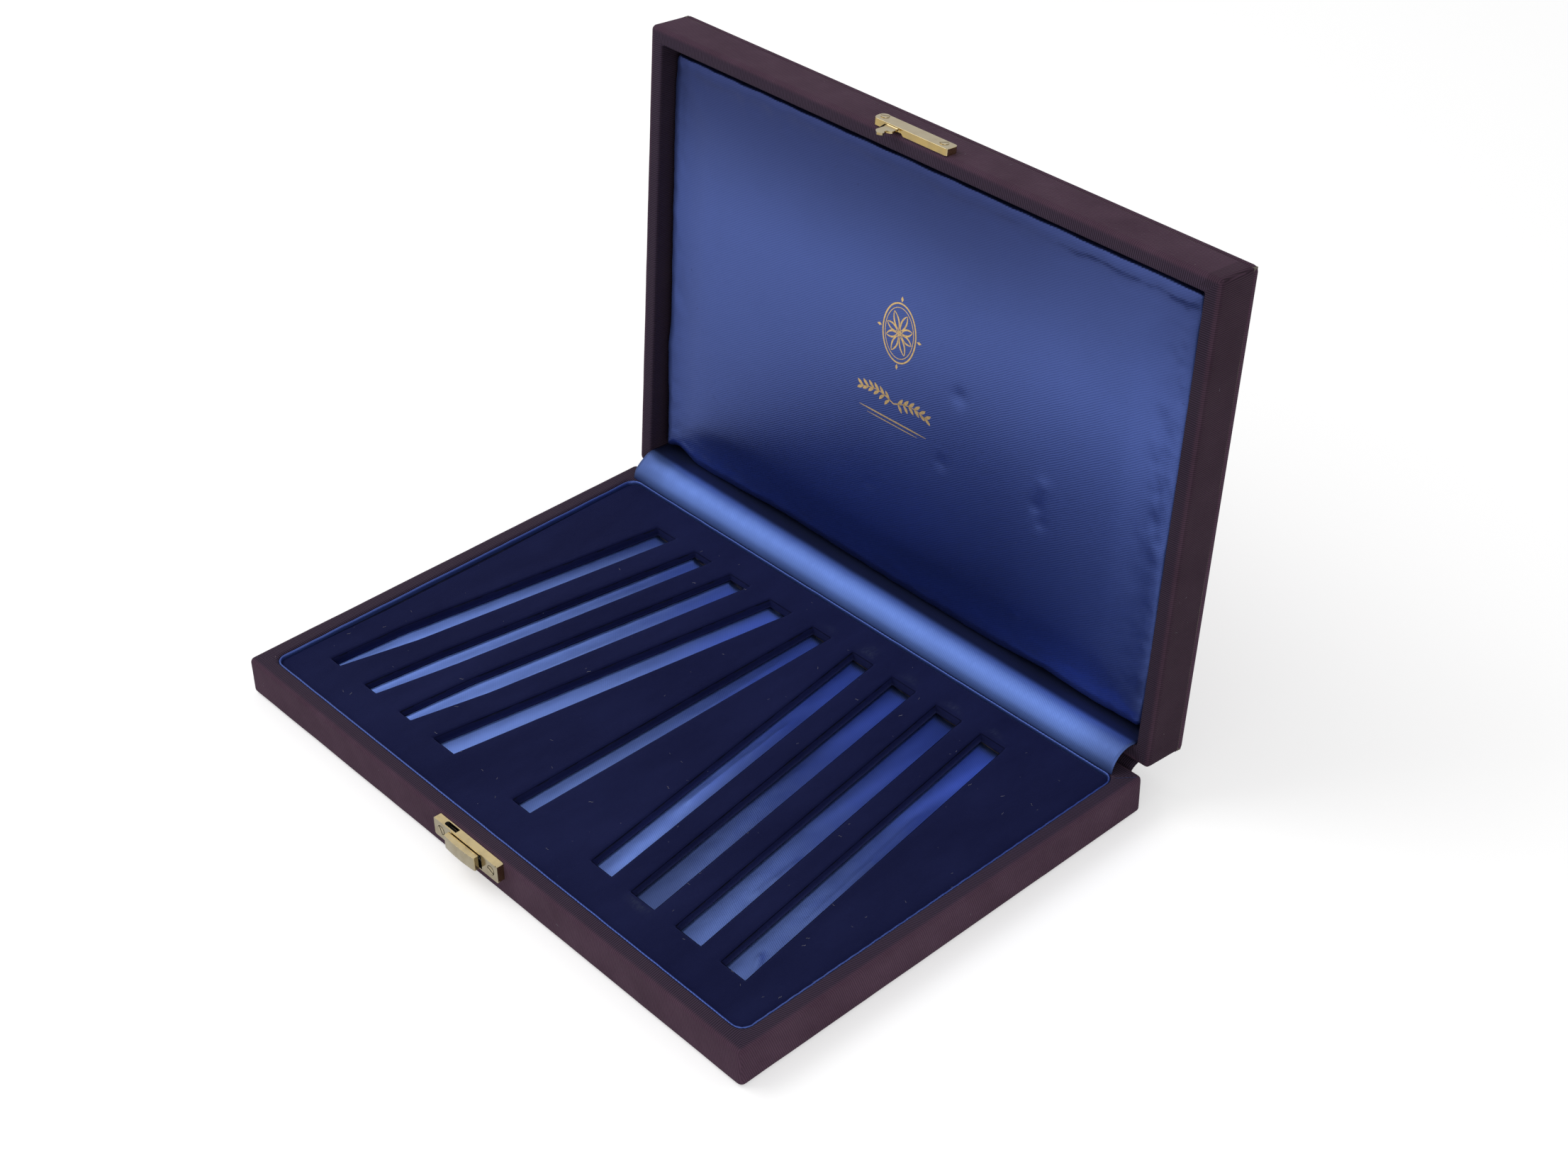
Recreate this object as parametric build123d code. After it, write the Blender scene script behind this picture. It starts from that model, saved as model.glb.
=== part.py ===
from build123d import *
import math
import os

os.makedirs("parts", exist_ok=True)

# Display box with a fitted tray, a padded lid and a spring latch.
# Millimetres. The origin is the middle of the underside, +X to the right, +Y to the hinge, +Z up.
# The lid is drawn shut on the base and then swung open about the hinge, which is the rest pose.

# Outside of the box
case_width = 320.0
case_depth = 219.1
base_height = 18.1
lid_height = 21.7
rim_gap = 0.3              # between the two rims when the lid is shut
lid_open_angle = 95.4      # degrees from shut to the stop

# Walls and covering
timber_thickness = 6.7
cloth_thickness = 0.45
edge_radius = 1.8          # rounding of the covered edges
sole_thickness = 0.75
sole_inset = 4.0
sole_lift = 0.3            # the cloth stays this far above the table
floor_thickness = 3.0

# Tray
edging_thickness = 1.2
edging_top_drop = 0.6      # below the rim
tray_corner_radius = 4.5
velvet_drop = 2.1          # top of the velvet below the rim
velvet_thickness = 0.8
slot_depth = 5.4
liner_thickness = 0.8
slot_rear_margin = 16.3    # from the rear slot ends to the edging
slot_front_margin = 18.8
slot_widths = [12.6, 11.4, 12.9, 14.0, 11.2, 12.5, 14.0, 14.7, 13.5]
slot_shifts = [0.3, -0.2, -1.1, -0.2, 0.0, 0.0, -1.1, -0.4, -0.9]    # sideways, as cut by hand
slot_tip_widths = [6.4, 8.2, 7.6]    # the first slots run to a point at the front
slot_tip_length = 36.0
middle_slot = 4            # index of the straight slot
middle_slot_x = -3.2
slot_left_margin = 16.7    # from the edging to the middle of the first slot's front end
slot_right_margin = 25.1
slot_left_splay = 26.0     # how far the front ends stand outside the rear ends
slot_right_splay = 25.0

# Lid
lid_board_thickness = 2.7
lid_seam = 0.5             # open groove between the cover board and the walls
pad_board_thickness = 2.0
pad_gap = 1.2              # from the pad's widest line to the lid walls
pad_edge_depth = 8.0       # edge of the pad below the lid rim
pad_crown_depth = 2.8      # middle of the pad below the lid rim
pad_draw_in = 2.2          # how far the pad's sides pull in

# Hinges
hinge_inset = 65.0         # from the side of the box to the middle of a hinge
hinge_setback = 2.0        # pin behind the back face
hinge_width = 36.0
leaf_thickness = 0.8
leaf_reach = 10.0
knuckle_radius = 1.7
pin_radius = 0.9
pin_seat_clearance = 0.02
running_clearance = 0.05
part_clearance = 0.3       # between pieces that move past each other
stop_reach = 3.2
stop_thickness = 1.4
leaf_screw_spread = 24.0
leaf_screw_head_radius = 1.6
leaf_screw_head_depth = 0.5
leaf_screw_radius = 0.7
leaf_screw_length = 5.0

# Cloth and satin strips over the hinge
strip_end_margin = 8.0     # from each end of a strip to the side of the box
satin_thickness = 0.4
satin_tuck = 14.0          # length of satin on the lid's inner wall
back_strip_thickness = 0.5
back_strip_reach = 13.5    # height of the cloth strip on each back face

# Latch
latch_x = 0.5
latch_length = 41.6
latch_thickness = 3.2
latch_back_wall = 0.7
latch_front_wall = 0.6
case_drop = 8.9            # height of the latch case
case_top_wall = 0.8
case_bottom_wall = 0.4
lip_height = 0.75
lip_overhang = 0.25
latch_corner_radius = 1.0
window_left = -13.9        # from the middle of the latch
window_length = 7.0
travel = 4.0
thumb_length = 19.5
thumb_height = 6.6
thumb_end_depth = 2.6
thumb_middle_depth = 3.1
thumb_left = -10.2         # from the middle of the latch
bolt_length = 13.0
bolt_height = 5.0
neck_shoulder = 0.5        # the neck is this much shorter than the bolt at each end
nose_height = 1.0
nose_length = 2.6
bolt_recess = 0.3
spring_radius = 0.8
spring_wall = 0.3
spring_seat_gap = 0.05
hook_thickness = 1.1
hook_clearance = 0.4       # from the hook's sides to the window
hook_length = 8.4
hook_head_length = 2.1
notch_depth = 2.0
plate_height = 6.5
plate_lobe_radius = 3.0
screw_spread = 32.6
screw_head_radius = 2.15
screw_head_depth = 0.9
screw_radius = 0.8
screw_length = 6.0
screw_fit = 0.05
screw_slot_width = 0.5
screw_slot_depth = 0.45
screw_slot_angles = [72.0, 18.0]     # turned differently by hand

# Levels and lines worked out from the sizes above
wall_total = timber_thickness + 2 * cloth_thickness
half_width = case_width / 2
half_depth = case_depth / 2
inner_width = case_width - 2 * wall_total
inner_depth = case_depth - 2 * wall_total
timber_low = sole_thickness
floor_top = sole_thickness + floor_thickness
velvet_top = base_height - velvet_drop
slot_floor = velvet_top - slot_depth
bed_top = slot_floor - liner_thickness
edging_top = base_height - edging_top_drop
tray_width = inner_width - 2 * edging_thickness
tray_depth = inner_depth - 2 * edging_thickness
slot_front = -tray_depth / 2 + slot_front_margin
slot_rear = tray_depth / 2 - slot_rear_margin
lid_low = base_height + rim_gap
lid_high = lid_low + lid_height
board_low = lid_high - lid_board_thickness
hinge_y = half_depth + hinge_setback
hinge_z = base_height
hinge_axis = Axis((0, hinge_y, hinge_z), (1, 0, 0))
hinge_x = half_width - hinge_inset
barrel_length = (hinge_width - 2 * part_clearance) / 3
strip_length = case_width - 2 * strip_end_margin

case_bottom = base_height - case_drop
cavity_low = case_bottom + case_bottom_wall
cavity_high = base_height - case_top_wall
bolt_z = (cavity_low + cavity_high) / 2
channel_low = bolt_z - thumb_height / 2 - part_clearance
channel_high = bolt_z + thumb_height / 2 + part_clearance
case_screw_z = bolt_z
plate_screw_z = lid_low + plate_height / 2 + 0.3
window_right = window_left + window_length
cavity_depth = latch_thickness - latch_back_wall - latch_front_wall
hook_near = latch_back_wall + (cavity_depth - hook_thickness) / 2
hook_left = window_left + hook_clearance
hook_right = window_right - hook_clearance - 0.1
notch_low = bolt_z - nose_height / 2 - part_clearance
notch_high = bolt_z + nose_height / 2 + part_clearance
bolt_left = window_right + hook_clearance
bolt_right = bolt_left + bolt_length
spring_end = bolt_right + travel + 2.2


# Builders that several pieces share

def prism(points, low, high):
    face = make_face(Polyline(*points, close=True))
    return Pos(0, 0, low) * extrude(face, amount=high - low, dir=(0, 0, 1))


def block(x_low, x_high, y_low, y_high, z_low, z_high):
    body = Box(x_high - x_low, y_high - y_low, z_high - z_low)
    return Pos((x_low + x_high) / 2, (y_low + y_high) / 2, (z_low + z_high) / 2) * body


def centred_block(width, depth, low, high):
    return block(-width / 2, width / 2, -depth / 2, depth / 2, low, high)


def rounded_block(width, depth, low, high, radius):
    body = centred_block(width, depth, low, high)
    return fillet(body.edges(), radius)


def rounded_prism(width, depth, low, high, radius):
    body = centred_block(width, depth, low, high)
    return fillet(body.edges().filter_by(Axis.Z), radius)


def rod_x(radius, x_low, x_high, y, z):
    rod = Cylinder(radius, x_high - x_low)
    return Pos((x_low + x_high) / 2, y, z) * Rot(0, 90, 0) * rod


def rod_y(radius, y_low, y_high, x, z):
    rod = Cylinder(radius, y_high - y_low)
    return Pos(x, (y_low + y_high) / 2, z) * Rot(90, 0, 0) * rod


def mitre_outline(side, width, depth, thickness):
    x, y = width / 2, depth / 2
    outer = {"front": [(-x, -y), (x, -y)], "right": [(x, -y), (x, y)],
             "back": [(x, y), (-x, y)], "left": [(-x, y), (-x, -y)]}[side]
    inner = [(px - math.copysign(thickness, px), py - math.copysign(thickness, py))
             for px, py in reversed(outer)]
    return outer + inner


def opened(piece):
    return piece.rotate(hinge_axis, -lid_open_angle)


def ribbon(points, thickness, length):
    # A strip of constant thickness whose middle line in the YZ plane runs through the points.
    left, right = [], []
    for index, point in enumerate(points):
        before = points[max(index - 1, 0)]
        after = points[min(index + 1, len(points) - 1)]
        run, rise = after[0] - before[0], after[1] - before[1]
        size = math.hypot(run, rise)
        across = (-rise / size * thickness / 2, run / size * thickness / 2)
        left.append((point[0] + across[0], point[1] + across[1]))
        right.append((point[0] - across[0], point[1] - across[1]))
    outline = [Spline(*left), Line(left[-1], right[-1]), Spline(*reversed(right)), Line(right[0], left[0])]
    profile = Plane.YZ * make_face(outline)
    return Pos(-length / 2, 0, 0) * extrude(profile, amount=length, dir=(1, 0, 0))


def one_piece(shape):
    solids = shape.solids()
    return solids[0] if len(solids) == 1 else Compound(children=list(solids))


def save(name, shape):
    export_step(one_piece(shape), "parts/" + name + ".step")


# Fastener holes

def latch_screw_places(z):
    return [(latch_x - screw_spread / 2, z), (latch_x + screw_spread / 2, z)]


def latch_screw_holes(z):
    face = -half_depth
    holes = [rod_y(screw_radius + screw_fit, face - latch_thickness, face + screw_length, x, level)
             for x, level in latch_screw_places(z)]
    seats = [rod_y(screw_head_radius + screw_fit, face - latch_thickness - 1,
                   face - latch_thickness + screw_head_depth + screw_fit, x, level)
             for x, level in latch_screw_places(z)]
    return holes[0] + holes[1] + seats[0] + seats[1]


def latch_screws(z):
    # Slotted flat heads, flush with the brass, each left at its own angle.
    face = -half_depth - latch_thickness
    made = []
    for (x, level), angle in zip(latch_screw_places(z), screw_slot_angles):
        head = rod_y(screw_head_radius, face, face + screw_head_depth, x, level)
        shank = rod_y(screw_radius, face + screw_head_depth, -half_depth + screw_length - 0.5, x, level)
        slot = Box(2 * screw_head_radius + 1, 2 * screw_slot_depth, screw_slot_width)
        made.append(head + shank - Pos(x, face, level) * Rot(0, angle, 0) * slot)
    return made


def leaf_screw_places(level):
    return [(side * hinge_x + offset * leaf_screw_spread / 2, level)
            for side in (-1, 1) for offset in (-1, 1)]


def leaf_screw_holes(level):
    face = half_depth
    outer = face + leaf_thickness
    cutters = []
    for x, z in leaf_screw_places(level):
        cutters.append(rod_y(leaf_screw_radius + screw_fit, face - leaf_screw_length, outer, x, z))
        seat_floor = outer - leaf_screw_head_depth - screw_fit
        cutters.append(rod_y(leaf_screw_head_radius + screw_fit, seat_floor, outer + 1, x, z))
    return cutters


def leaf_screws(level):
    outer = half_depth + leaf_thickness
    made = []
    for x, z in leaf_screw_places(level):
        head = rod_y(leaf_screw_head_radius, outer - leaf_screw_head_depth, outer, x, z)
        shank_end = half_depth - leaf_screw_length + 0.5
        shank = rod_y(leaf_screw_radius, shank_end, outer - leaf_screw_head_depth, x, z)
        made.append(head + shank)
    return made


base_leaf_screw_z = base_height - 0.7 * leaf_reach
lid_leaf_screw_z = lid_low + 0.7 * leaf_reach


# Base

def base_timber():
    # Outside form of the timber under the cloth, with the inside left full.
    return rounded_block(case_width - 2 * cloth_thickness, case_depth - 2 * cloth_thickness,
                         timber_low, base_height - cloth_thickness, edge_radius - cloth_thickness)


def base_wall(side):
    outline = mitre_outline(side, case_width, case_depth, wall_total - cloth_thickness)
    wall = prism(outline, 0, base_height) & base_timber()
    if side == "front":
        wall = wall - latch_screw_holes(case_screw_z)
    if side == "back":
        for cutter in leaf_screw_holes(base_leaf_screw_z):
            wall = wall - cutter
    return wall


def base_cover_cloth():
    skin = rounded_block(case_width, case_depth, sole_lift, base_height, edge_radius)
    core = base_timber() - centred_block(inner_width + 2 * cloth_thickness,
                                         inner_depth + 2 * cloth_thickness, 0, base_height)
    skin = skin - core
    skin = skin - centred_block(inner_width, inner_depth, 0, base_height + 1)
    skin = skin - centred_block(case_width - 2 * sole_inset, case_depth - 2 * sole_inset, 0, timber_low)
    skin = skin - latch_screw_holes(case_screw_z)
    for cutter in leaf_screw_holes(base_leaf_screw_z):
        skin = skin - cutter
    return skin


def base_sole():
    return centred_block(case_width - 2 * sole_inset, case_depth - 2 * sole_inset, 0, sole_thickness)


def base_floor_board():
    return centred_block(inner_width, inner_depth, sole_thickness, floor_top)


# Tray

def slot_ends(index):
    # Middle of the slot at its rear and front end.
    step = index - middle_slot
    middle = middle_slot_x + slot_shifts[index]
    if step == 0:
        return middle, middle
    if step < 0:
        pitch = (tray_width / 2 + middle_slot_x - slot_left_margin - slot_left_splay) / middle_slot
        splay = -slot_left_splay
    else:
        count = len(slot_widths) - 1 - middle_slot
        pitch = (tray_width / 2 - middle_slot_x - slot_right_margin - slot_right_splay) / count
        splay = slot_right_splay
    rear = middle + step * pitch
    return rear, rear + splay


def slot_side(index, side):
    # Points of one long side of a slot from the rear to the front, side -1 left and +1 right.
    rear, front = slot_ends(index)
    half = slot_widths[index] / 2
    points = [(rear + side * half, slot_rear)]
    if index < len(slot_tip_widths):
        share = slot_tip_length / (slot_rear - slot_front)
        start = front + (rear - front) * share
        points.append((start + side * half, slot_front + slot_tip_length))
        points.append((front + side * slot_tip_widths[index] / 2, slot_front))
    else:
        points.append((front + side * half, slot_front))
    return points


def slot_outline(index):
    return slot_side(index, -1) + list(reversed(slot_side(index, 1)))


def tray_space(low, high):
    return rounded_prism(tray_width, tray_depth, low, high, tray_corner_radius)


def tray_bed():
    return tray_space(floor_top, bed_top)


def tray_edging(side):
    ring = centred_block(inner_width, inner_depth, floor_top, edging_top)
    ring = ring - tray_space(floor_top, edging_top)
    reach = edging_thickness + tray_corner_radius
    return ring & prism(mitre_outline(side, inner_width, inner_depth, reach), floor_top, edging_top)


def tray_spacer(index):
    # Spacer between slot index - 1 and slot index. The first and last reach the edging.
    low, high = bed_top, velvet_top - velvet_thickness
    if index == 0:
        left = [(-tray_width / 2, slot_rear), (-tray_width / 2, slot_front)]
    else:
        left = slot_side(index - 1, 1)
    if index == len(slot_widths):
        right = [(tray_width / 2, slot_rear), (tray_width / 2, slot_front)]
    else:
        right = slot_side(index, -1)
    return prism(left + list(reversed(right)), low, high)


def tray_rail(y_low, y_high):
    low, high = bed_top, velvet_top - velvet_thickness
    return block(-tray_width / 2, tray_width / 2, y_low, y_high, low, high) & tray_space(low, high)


def tray_velvet_panel():
    low, high = velvet_top - velvet_thickness, velvet_top
    panel = tray_space(low, high)
    for index in range(len(slot_widths)):
        panel = panel - prism(slot_outline(index), low - 1, high + 1)
    return panel


def slot_liner(index):
    return prism(slot_outline(index), bed_top, slot_floor)


# Latch case and slider on the base

def behind_front(x_low, x_high, out_low, out_high, z_low, z_high):
    # A block placed from the middle of the latch, with depths counted outwards from the front face.
    return block(latch_x + x_low, latch_x + x_high, -half_depth - out_high, -half_depth - out_low,
                 z_low, z_high)


def clasp_case():
    half = latch_length / 2
    body = behind_front(-half, half, 0, latch_thickness, case_bottom, base_height)
    body = fillet(body.edges().filter_by(Axis.Y), latch_corner_radius)
    lip = behind_front(-half + latch_corner_radius, half - latch_corner_radius, latch_thickness - 1,
                       latch_thickness + lip_overhang, base_height - lip_height, base_height)
    body = body + lip
    inner, outer = latch_back_wall, latch_thickness - latch_front_wall
    cavity = behind_front(window_left, spring_end, inner, outer, cavity_low, cavity_high)
    window = behind_front(window_left, window_right, inner, outer, cavity_low, base_height + 1)
    channel_left = bolt_left + neck_shoulder - part_clearance
    channel_right = bolt_right - neck_shoulder + travel + part_clearance
    channel = behind_front(channel_left, channel_right, inner, latch_thickness + 1,
                           channel_low, base_height - lip_height)
    body = body - cavity
    body = body - window
    body = body - (channel & behind_front(channel_left, spring_end, inner, latch_thickness + 1,
                                          channel_low, channel_high))
    return body - latch_screw_holes(case_screw_z)


def clasp_slider():
    # Crowned thumb piece outside, bolt plate and nose inside the case.
    back = latch_thickness + part_clearance
    left, right = latch_x + thumb_left, latch_x + thumb_left + thumb_length
    rear = -half_depth - back
    crown = ThreePointArc((left, rear - thumb_end_depth), ((left + right) / 2, rear - thumb_middle_depth),
                          (right, rear - thumb_end_depth))
    sides = Polyline((right, rear - thumb_end_depth), (right, rear), (left, rear),
                     (left, rear - thumb_end_depth))
    face = make_face([crown, sides])
    thumb = Pos(0, 0, bolt_z - thumb_height / 2) * extrude(face, amount=thumb_height, dir=(0, 0, 1))
    thumb = fillet(thumb.edges().filter_by(Axis.Z), 0.5)
    near = latch_back_wall + bolt_recess
    far = latch_thickness - latch_front_wall - bolt_recess
    plate = behind_front(bolt_left, bolt_right, near, far,
                         bolt_z - bolt_height / 2, bolt_z + bolt_height / 2)
    neck = behind_front(bolt_left + neck_shoulder, bolt_right - neck_shoulder, near, back + 0.5,
                        bolt_z - bolt_height / 2, bolt_z + bolt_height / 2)
    nose = behind_front(bolt_left - nose_length, bolt_left + 1, hook_near, hook_near + hook_thickness,
                        bolt_z - nose_height / 2, bolt_z + nose_height / 2)
    return thumb + plate + neck + nose


def clasp_spring():
    x_low = latch_x + bolt_right + spring_seat_gap
    x_high = latch_x + spring_end - spring_seat_gap
    y = -half_depth - latch_back_wall - cavity_depth / 2
    coil = rod_x(spring_radius, x_low, x_high, y, bolt_z)
    return coil - rod_x(spring_radius - spring_wall, x_low - 1, x_high + 1, y, bolt_z)


# Lid, drawn shut

def lid_timber():
    body = rounded_block(case_width - 2 * cloth_thickness, case_depth - 2 * cloth_thickness,
                         lid_low + cloth_thickness, lid_high + lid_height, edge_radius - cloth_thickness)
    return body & centred_block(case_width, case_depth, lid_low, board_low)


def lid_wall(side):
    outline = mitre_outline(side, case_width, case_depth, wall_total - cloth_thickness)
    wall = prism(outline, lid_low, board_low) & lid_timber()
    if side == "front":
        wall = wall - latch_screw_holes(plate_screw_z)
    if side == "back":
        for cutter in leaf_screw_holes(lid_leaf_screw_z):
            wall = wall - cutter
    return wall


def lid_cover_cloth():
    skin_high = board_low - lid_seam
    skin = rounded_block(case_width, case_depth, lid_low, lid_high + lid_height, edge_radius)
    skin = skin & centred_block(case_width, case_depth, lid_low, skin_high)
    core = lid_timber() - centred_block(inner_width + 2 * cloth_thickness,
                                        inner_depth + 2 * cloth_thickness, lid_low, lid_high)
    skin = skin - core
    skin = skin - centred_block(inner_width, inner_depth, lid_low - 1, lid_high)
    skin = skin - latch_screw_holes(plate_screw_z)
    for cutter in leaf_screw_holes(lid_leaf_screw_z):
        skin = skin - cutter
    return skin


def lid_top_board():
    return centred_block(case_width - 2 * cloth_thickness, case_depth - 2 * cloth_thickness,
                         board_low, lid_high - cloth_thickness)


def lid_board_cloth():
    skin = rounded_block(case_width, case_depth, board_low, lid_high, lid_board_thickness / 2 - 0.2)
    return skin - centred_block(case_width - 2 * cloth_thickness, case_depth - 2 * cloth_thickness,
                                board_low - 1, lid_high - cloth_thickness)


def lid_pad_board():
    return centred_block(inner_width, inner_depth, board_low - pad_board_thickness, board_low)


def lid_pad():
    # Upholstered pad: widest a little above its board, drawn in at the edge and crowned to the middle.
    width = inner_width - 2 * pad_gap
    depth = inner_depth - 2 * pad_gap
    back = board_low - pad_board_thickness
    edge = lid_low + pad_edge_depth
    crown = lid_low + pad_crown_depth
    # Level, inset and corner radius of each ring from the board to the middle of the crown.
    levels = [(back, pad_draw_in, 3.0), (back - 0.45 * (back - edge), 0.0, 4.0), (edge, 1.1, 5.0),
              (edge - 0.38 * (edge - crown), 0.055 * depth, 0.045 * depth),
              (edge - 0.72 * (edge - crown), 0.16 * depth, 0.08 * depth),
              (edge - 0.92 * (edge - crown), 0.31 * depth, 0.1 * depth),
              (crown, 0.45 * depth, 0.03 * depth)]
    sections = []
    for level, inset, radius in levels:
        sketch = RectangleRounded(width - 2 * inset, depth - 2 * inset, radius)
        sections.append(Pos(0, 0, level) * sketch.face())
    return loft(sections, ruled=True)


def hook_plate():
    half = latch_length / 2
    body = behind_front(-half, half, 0, latch_thickness, lid_low, lid_low + plate_height)
    across = body.edges().filter_by(Axis.Y)
    body = fillet(across.sort_by(Axis.X)[:2], plate_lobe_radius)
    body = fillet(body.edges().filter_by(Axis.Y).sort_by(Axis.X)[-2:], latch_corner_radius)
    left, right = latch_x + hook_left, latch_x + hook_right
    tip, shoulder = lid_low - hook_length, lid_low - hook_length + hook_head_length
    low, high = shoulder - 0.7, lid_low + 1
    edge = Polyline((left, low), (left, high), (right, high), (right, notch_high),
                    (right - notch_depth, notch_high), (right - notch_depth, notch_low),
                    (right, notch_low), (right, low))
    head = ThreePointArc((right, low), ((left + right) / 2, tip), (left, low))
    profile = Plane.XZ * make_face([edge, head])
    hook = Pos(0, -half_depth - hook_near, 0) * extrude(profile, amount=hook_thickness, dir=(0, -1, 0))
    return body + hook - latch_screw_holes(plate_screw_z)


# Hinges, drawn shut

def barrel_ranges(x):
    # The three knuckles of a hinge: base, lid, base.
    start = x - hinge_width / 2
    step = barrel_length + part_clearance
    return [(start + index * step, start + index * step + barrel_length) for index in range(3)]


def hinge_base_leaf(x):
    low, high = base_height - leaf_reach, base_height - 0.1
    leaf = block(x - hinge_width / 2, x + hinge_width / 2, half_depth, half_depth + leaf_thickness,
                 low, high)
    ranges = barrel_ranges(x)
    middle = ranges[1]
    leaf = leaf - rod_x(knuckle_radius + part_clearance, middle[0] - part_clearance,
                        middle[1] + part_clearance, hinge_y, hinge_z)
    for x_low, x_high in (ranges[0], ranges[2]):
        leaf = leaf + rod_x(knuckle_radius, x_low, x_high, hinge_y, hinge_z)
        leaf = leaf + block(x_low, x_high, hinge_y, hinge_y + stop_reach,
                            hinge_z - stop_thickness / 2, hinge_z + stop_thickness / 2)
    leaf = leaf - rod_x(pin_radius + pin_seat_clearance, x - hinge_width, x + hinge_width,
                        hinge_y, hinge_z)
    for cutter in leaf_screw_holes(base_leaf_screw_z):
        leaf = leaf - cutter
    return leaf


def hinge_lid_leaf(x):
    leaf = block(x - hinge_width / 2, x + hinge_width / 2, half_depth, half_depth + leaf_thickness,
                 lid_low, lid_low + leaf_reach)
    ranges = barrel_ranges(x)
    for x_low, x_high in (ranges[0], ranges[2]):
        leaf = leaf - rod_x(knuckle_radius + part_clearance, x_low - part_clearance,
                            x_high + part_clearance, hinge_y, hinge_z)
    leaf = leaf + rod_x(knuckle_radius, ranges[1][0], ranges[1][1], hinge_y, hinge_z)
    leaf = leaf - rod_x(pin_radius + running_clearance, x - hinge_width, x + hinge_width,
                        hinge_y, hinge_z)
    for cutter in leaf_screw_holes(lid_leaf_screw_z):
        leaf = leaf - cutter
    return leaf


def hinge_pin(x):
    return rod_x(pin_radius, x - hinge_width / 2, x + hinge_width / 2, hinge_y, hinge_z)


# Strips across the hinge, drawn at rest with the lid open

def lid_point(down, along):
    # Where a point of the shut lid, given by its distance in from the back and up from the rim, stands open.
    y, z = half_depth - down - hinge_y, lid_low + along - hinge_z
    turn = math.radians(-lid_open_angle)
    return (hinge_y + y * math.cos(turn) - z * math.sin(turn),
            hinge_z + y * math.sin(turn) + z * math.cos(turn))


def hinge_satin_strip():
    # Rises from the back of the tray, bellies forward and lies along the lid's inner back wall.
    start_y = inner_depth / 2 - edging_thickness / 2 - 0.15
    start_z = edging_top + part_clearance
    down = wall_total + satin_thickness / 2 + 0.1
    turn = lid_point(down + 0.4, -0.05 * satin_tuck)
    run, rise = turn[0] - start_y, turn[1] - start_z
    points = [(start_y + share_y * run, start_z + share_z * rise)
              for share_y, share_z in ((0, 0), (0.02, 0.17), (0.13, 0.45), (0.38, 0.74), (0.70, 0.93))]
    points.append(turn)
    for share in (0.12, 0.3, 0.5, 0.75, 1.0):
        points.append(lid_point(down, share * satin_tuck))
    return ribbon(points, satin_thickness, strip_length)


def hinge_cloth_strip():
    # Covers the hinges behind: down the back of the base and under the open lid.
    off = leaf_thickness + back_strip_thickness / 2 + 0.15
    y = half_depth + off
    top = base_height
    points = [(y, top - share * back_strip_reach) for share in (1.0, 0.8, 0.6, 0.45)]
    points.append((hinge_y + 0.75, hinge_z - knuckle_radius - 1.4))
    points.append((hinge_y + stop_reach + 0.3, hinge_z - stop_thickness / 2 - 0.9))
    for share in (0.55, 0.7, 0.85, 1.0):
        points.append(lid_point(-off, share * back_strip_reach))
    return ribbon(points, back_strip_thickness, strip_length)


# Write every piece

sides = ["front", "back", "left", "right"]

save("base_sole", base_sole())
save("base_floor_board", base_floor_board())
save("base_cover_cloth", base_cover_cloth())
save("tray_bed", tray_bed())
save("tray_velvet_panel", tray_velvet_panel())
save("tray_front_rail", tray_rail(-tray_depth / 2, slot_front))
save("tray_rear_rail", tray_rail(slot_rear, tray_depth / 2))
for name in sides:
    save("base_" + name + "_wall", base_wall(name))
    save("tray_edging_" + name, tray_edging(name))
    save("lid_" + name + "_wall", opened(lid_wall(name)))
for number in range(len(slot_widths) + 1):
    save("tray_spacer_%02d" % (number + 1), tray_spacer(number))
for number in range(len(slot_widths)):
    save("slot_liner_%d" % (number + 1), slot_liner(number))

save("clasp_case", clasp_case())
save("clasp_slider", clasp_slider())
save("clasp_spring", clasp_spring())
save("clasp_screws", Compound(children=latch_screws(case_screw_z)))
save("hook_plate", opened(hook_plate()))
save("hook_plate_screws", opened(Compound(children=latch_screws(plate_screw_z))))

save("lid_cover_cloth", opened(lid_cover_cloth()))
save("lid_top_board", opened(lid_top_board()))
save("lid_board_cloth", opened(lid_board_cloth()))
save("lid_pad_board", opened(lid_pad_board()))
save("lid_pad", opened(lid_pad()))

for name, side in (("left", -1), ("right", 1)):
    x = side * hinge_x
    save("hinge_base_leaf_" + name, hinge_base_leaf(x))
    save("hinge_lid_leaf_" + name, opened(hinge_lid_leaf(x)))
    save("hinge_pin_" + name, hinge_pin(x))
save("hinge_base_screws", Compound(children=leaf_screws(base_leaf_screw_z)))
save("hinge_lid_screws", opened(Compound(children=leaf_screws(lid_leaf_screw_z))))
save("hinge_satin_strip", hinge_satin_strip())
save("hinge_cloth_strip", hinge_cloth_strip())
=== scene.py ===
import bpy
import bmesh
import math
import random
from mathutils import Matrix, Vector, noise
from mathutils.bvhtree import BVHTree
from mathutils.geometry import delaunay_2d_cdt


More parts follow.
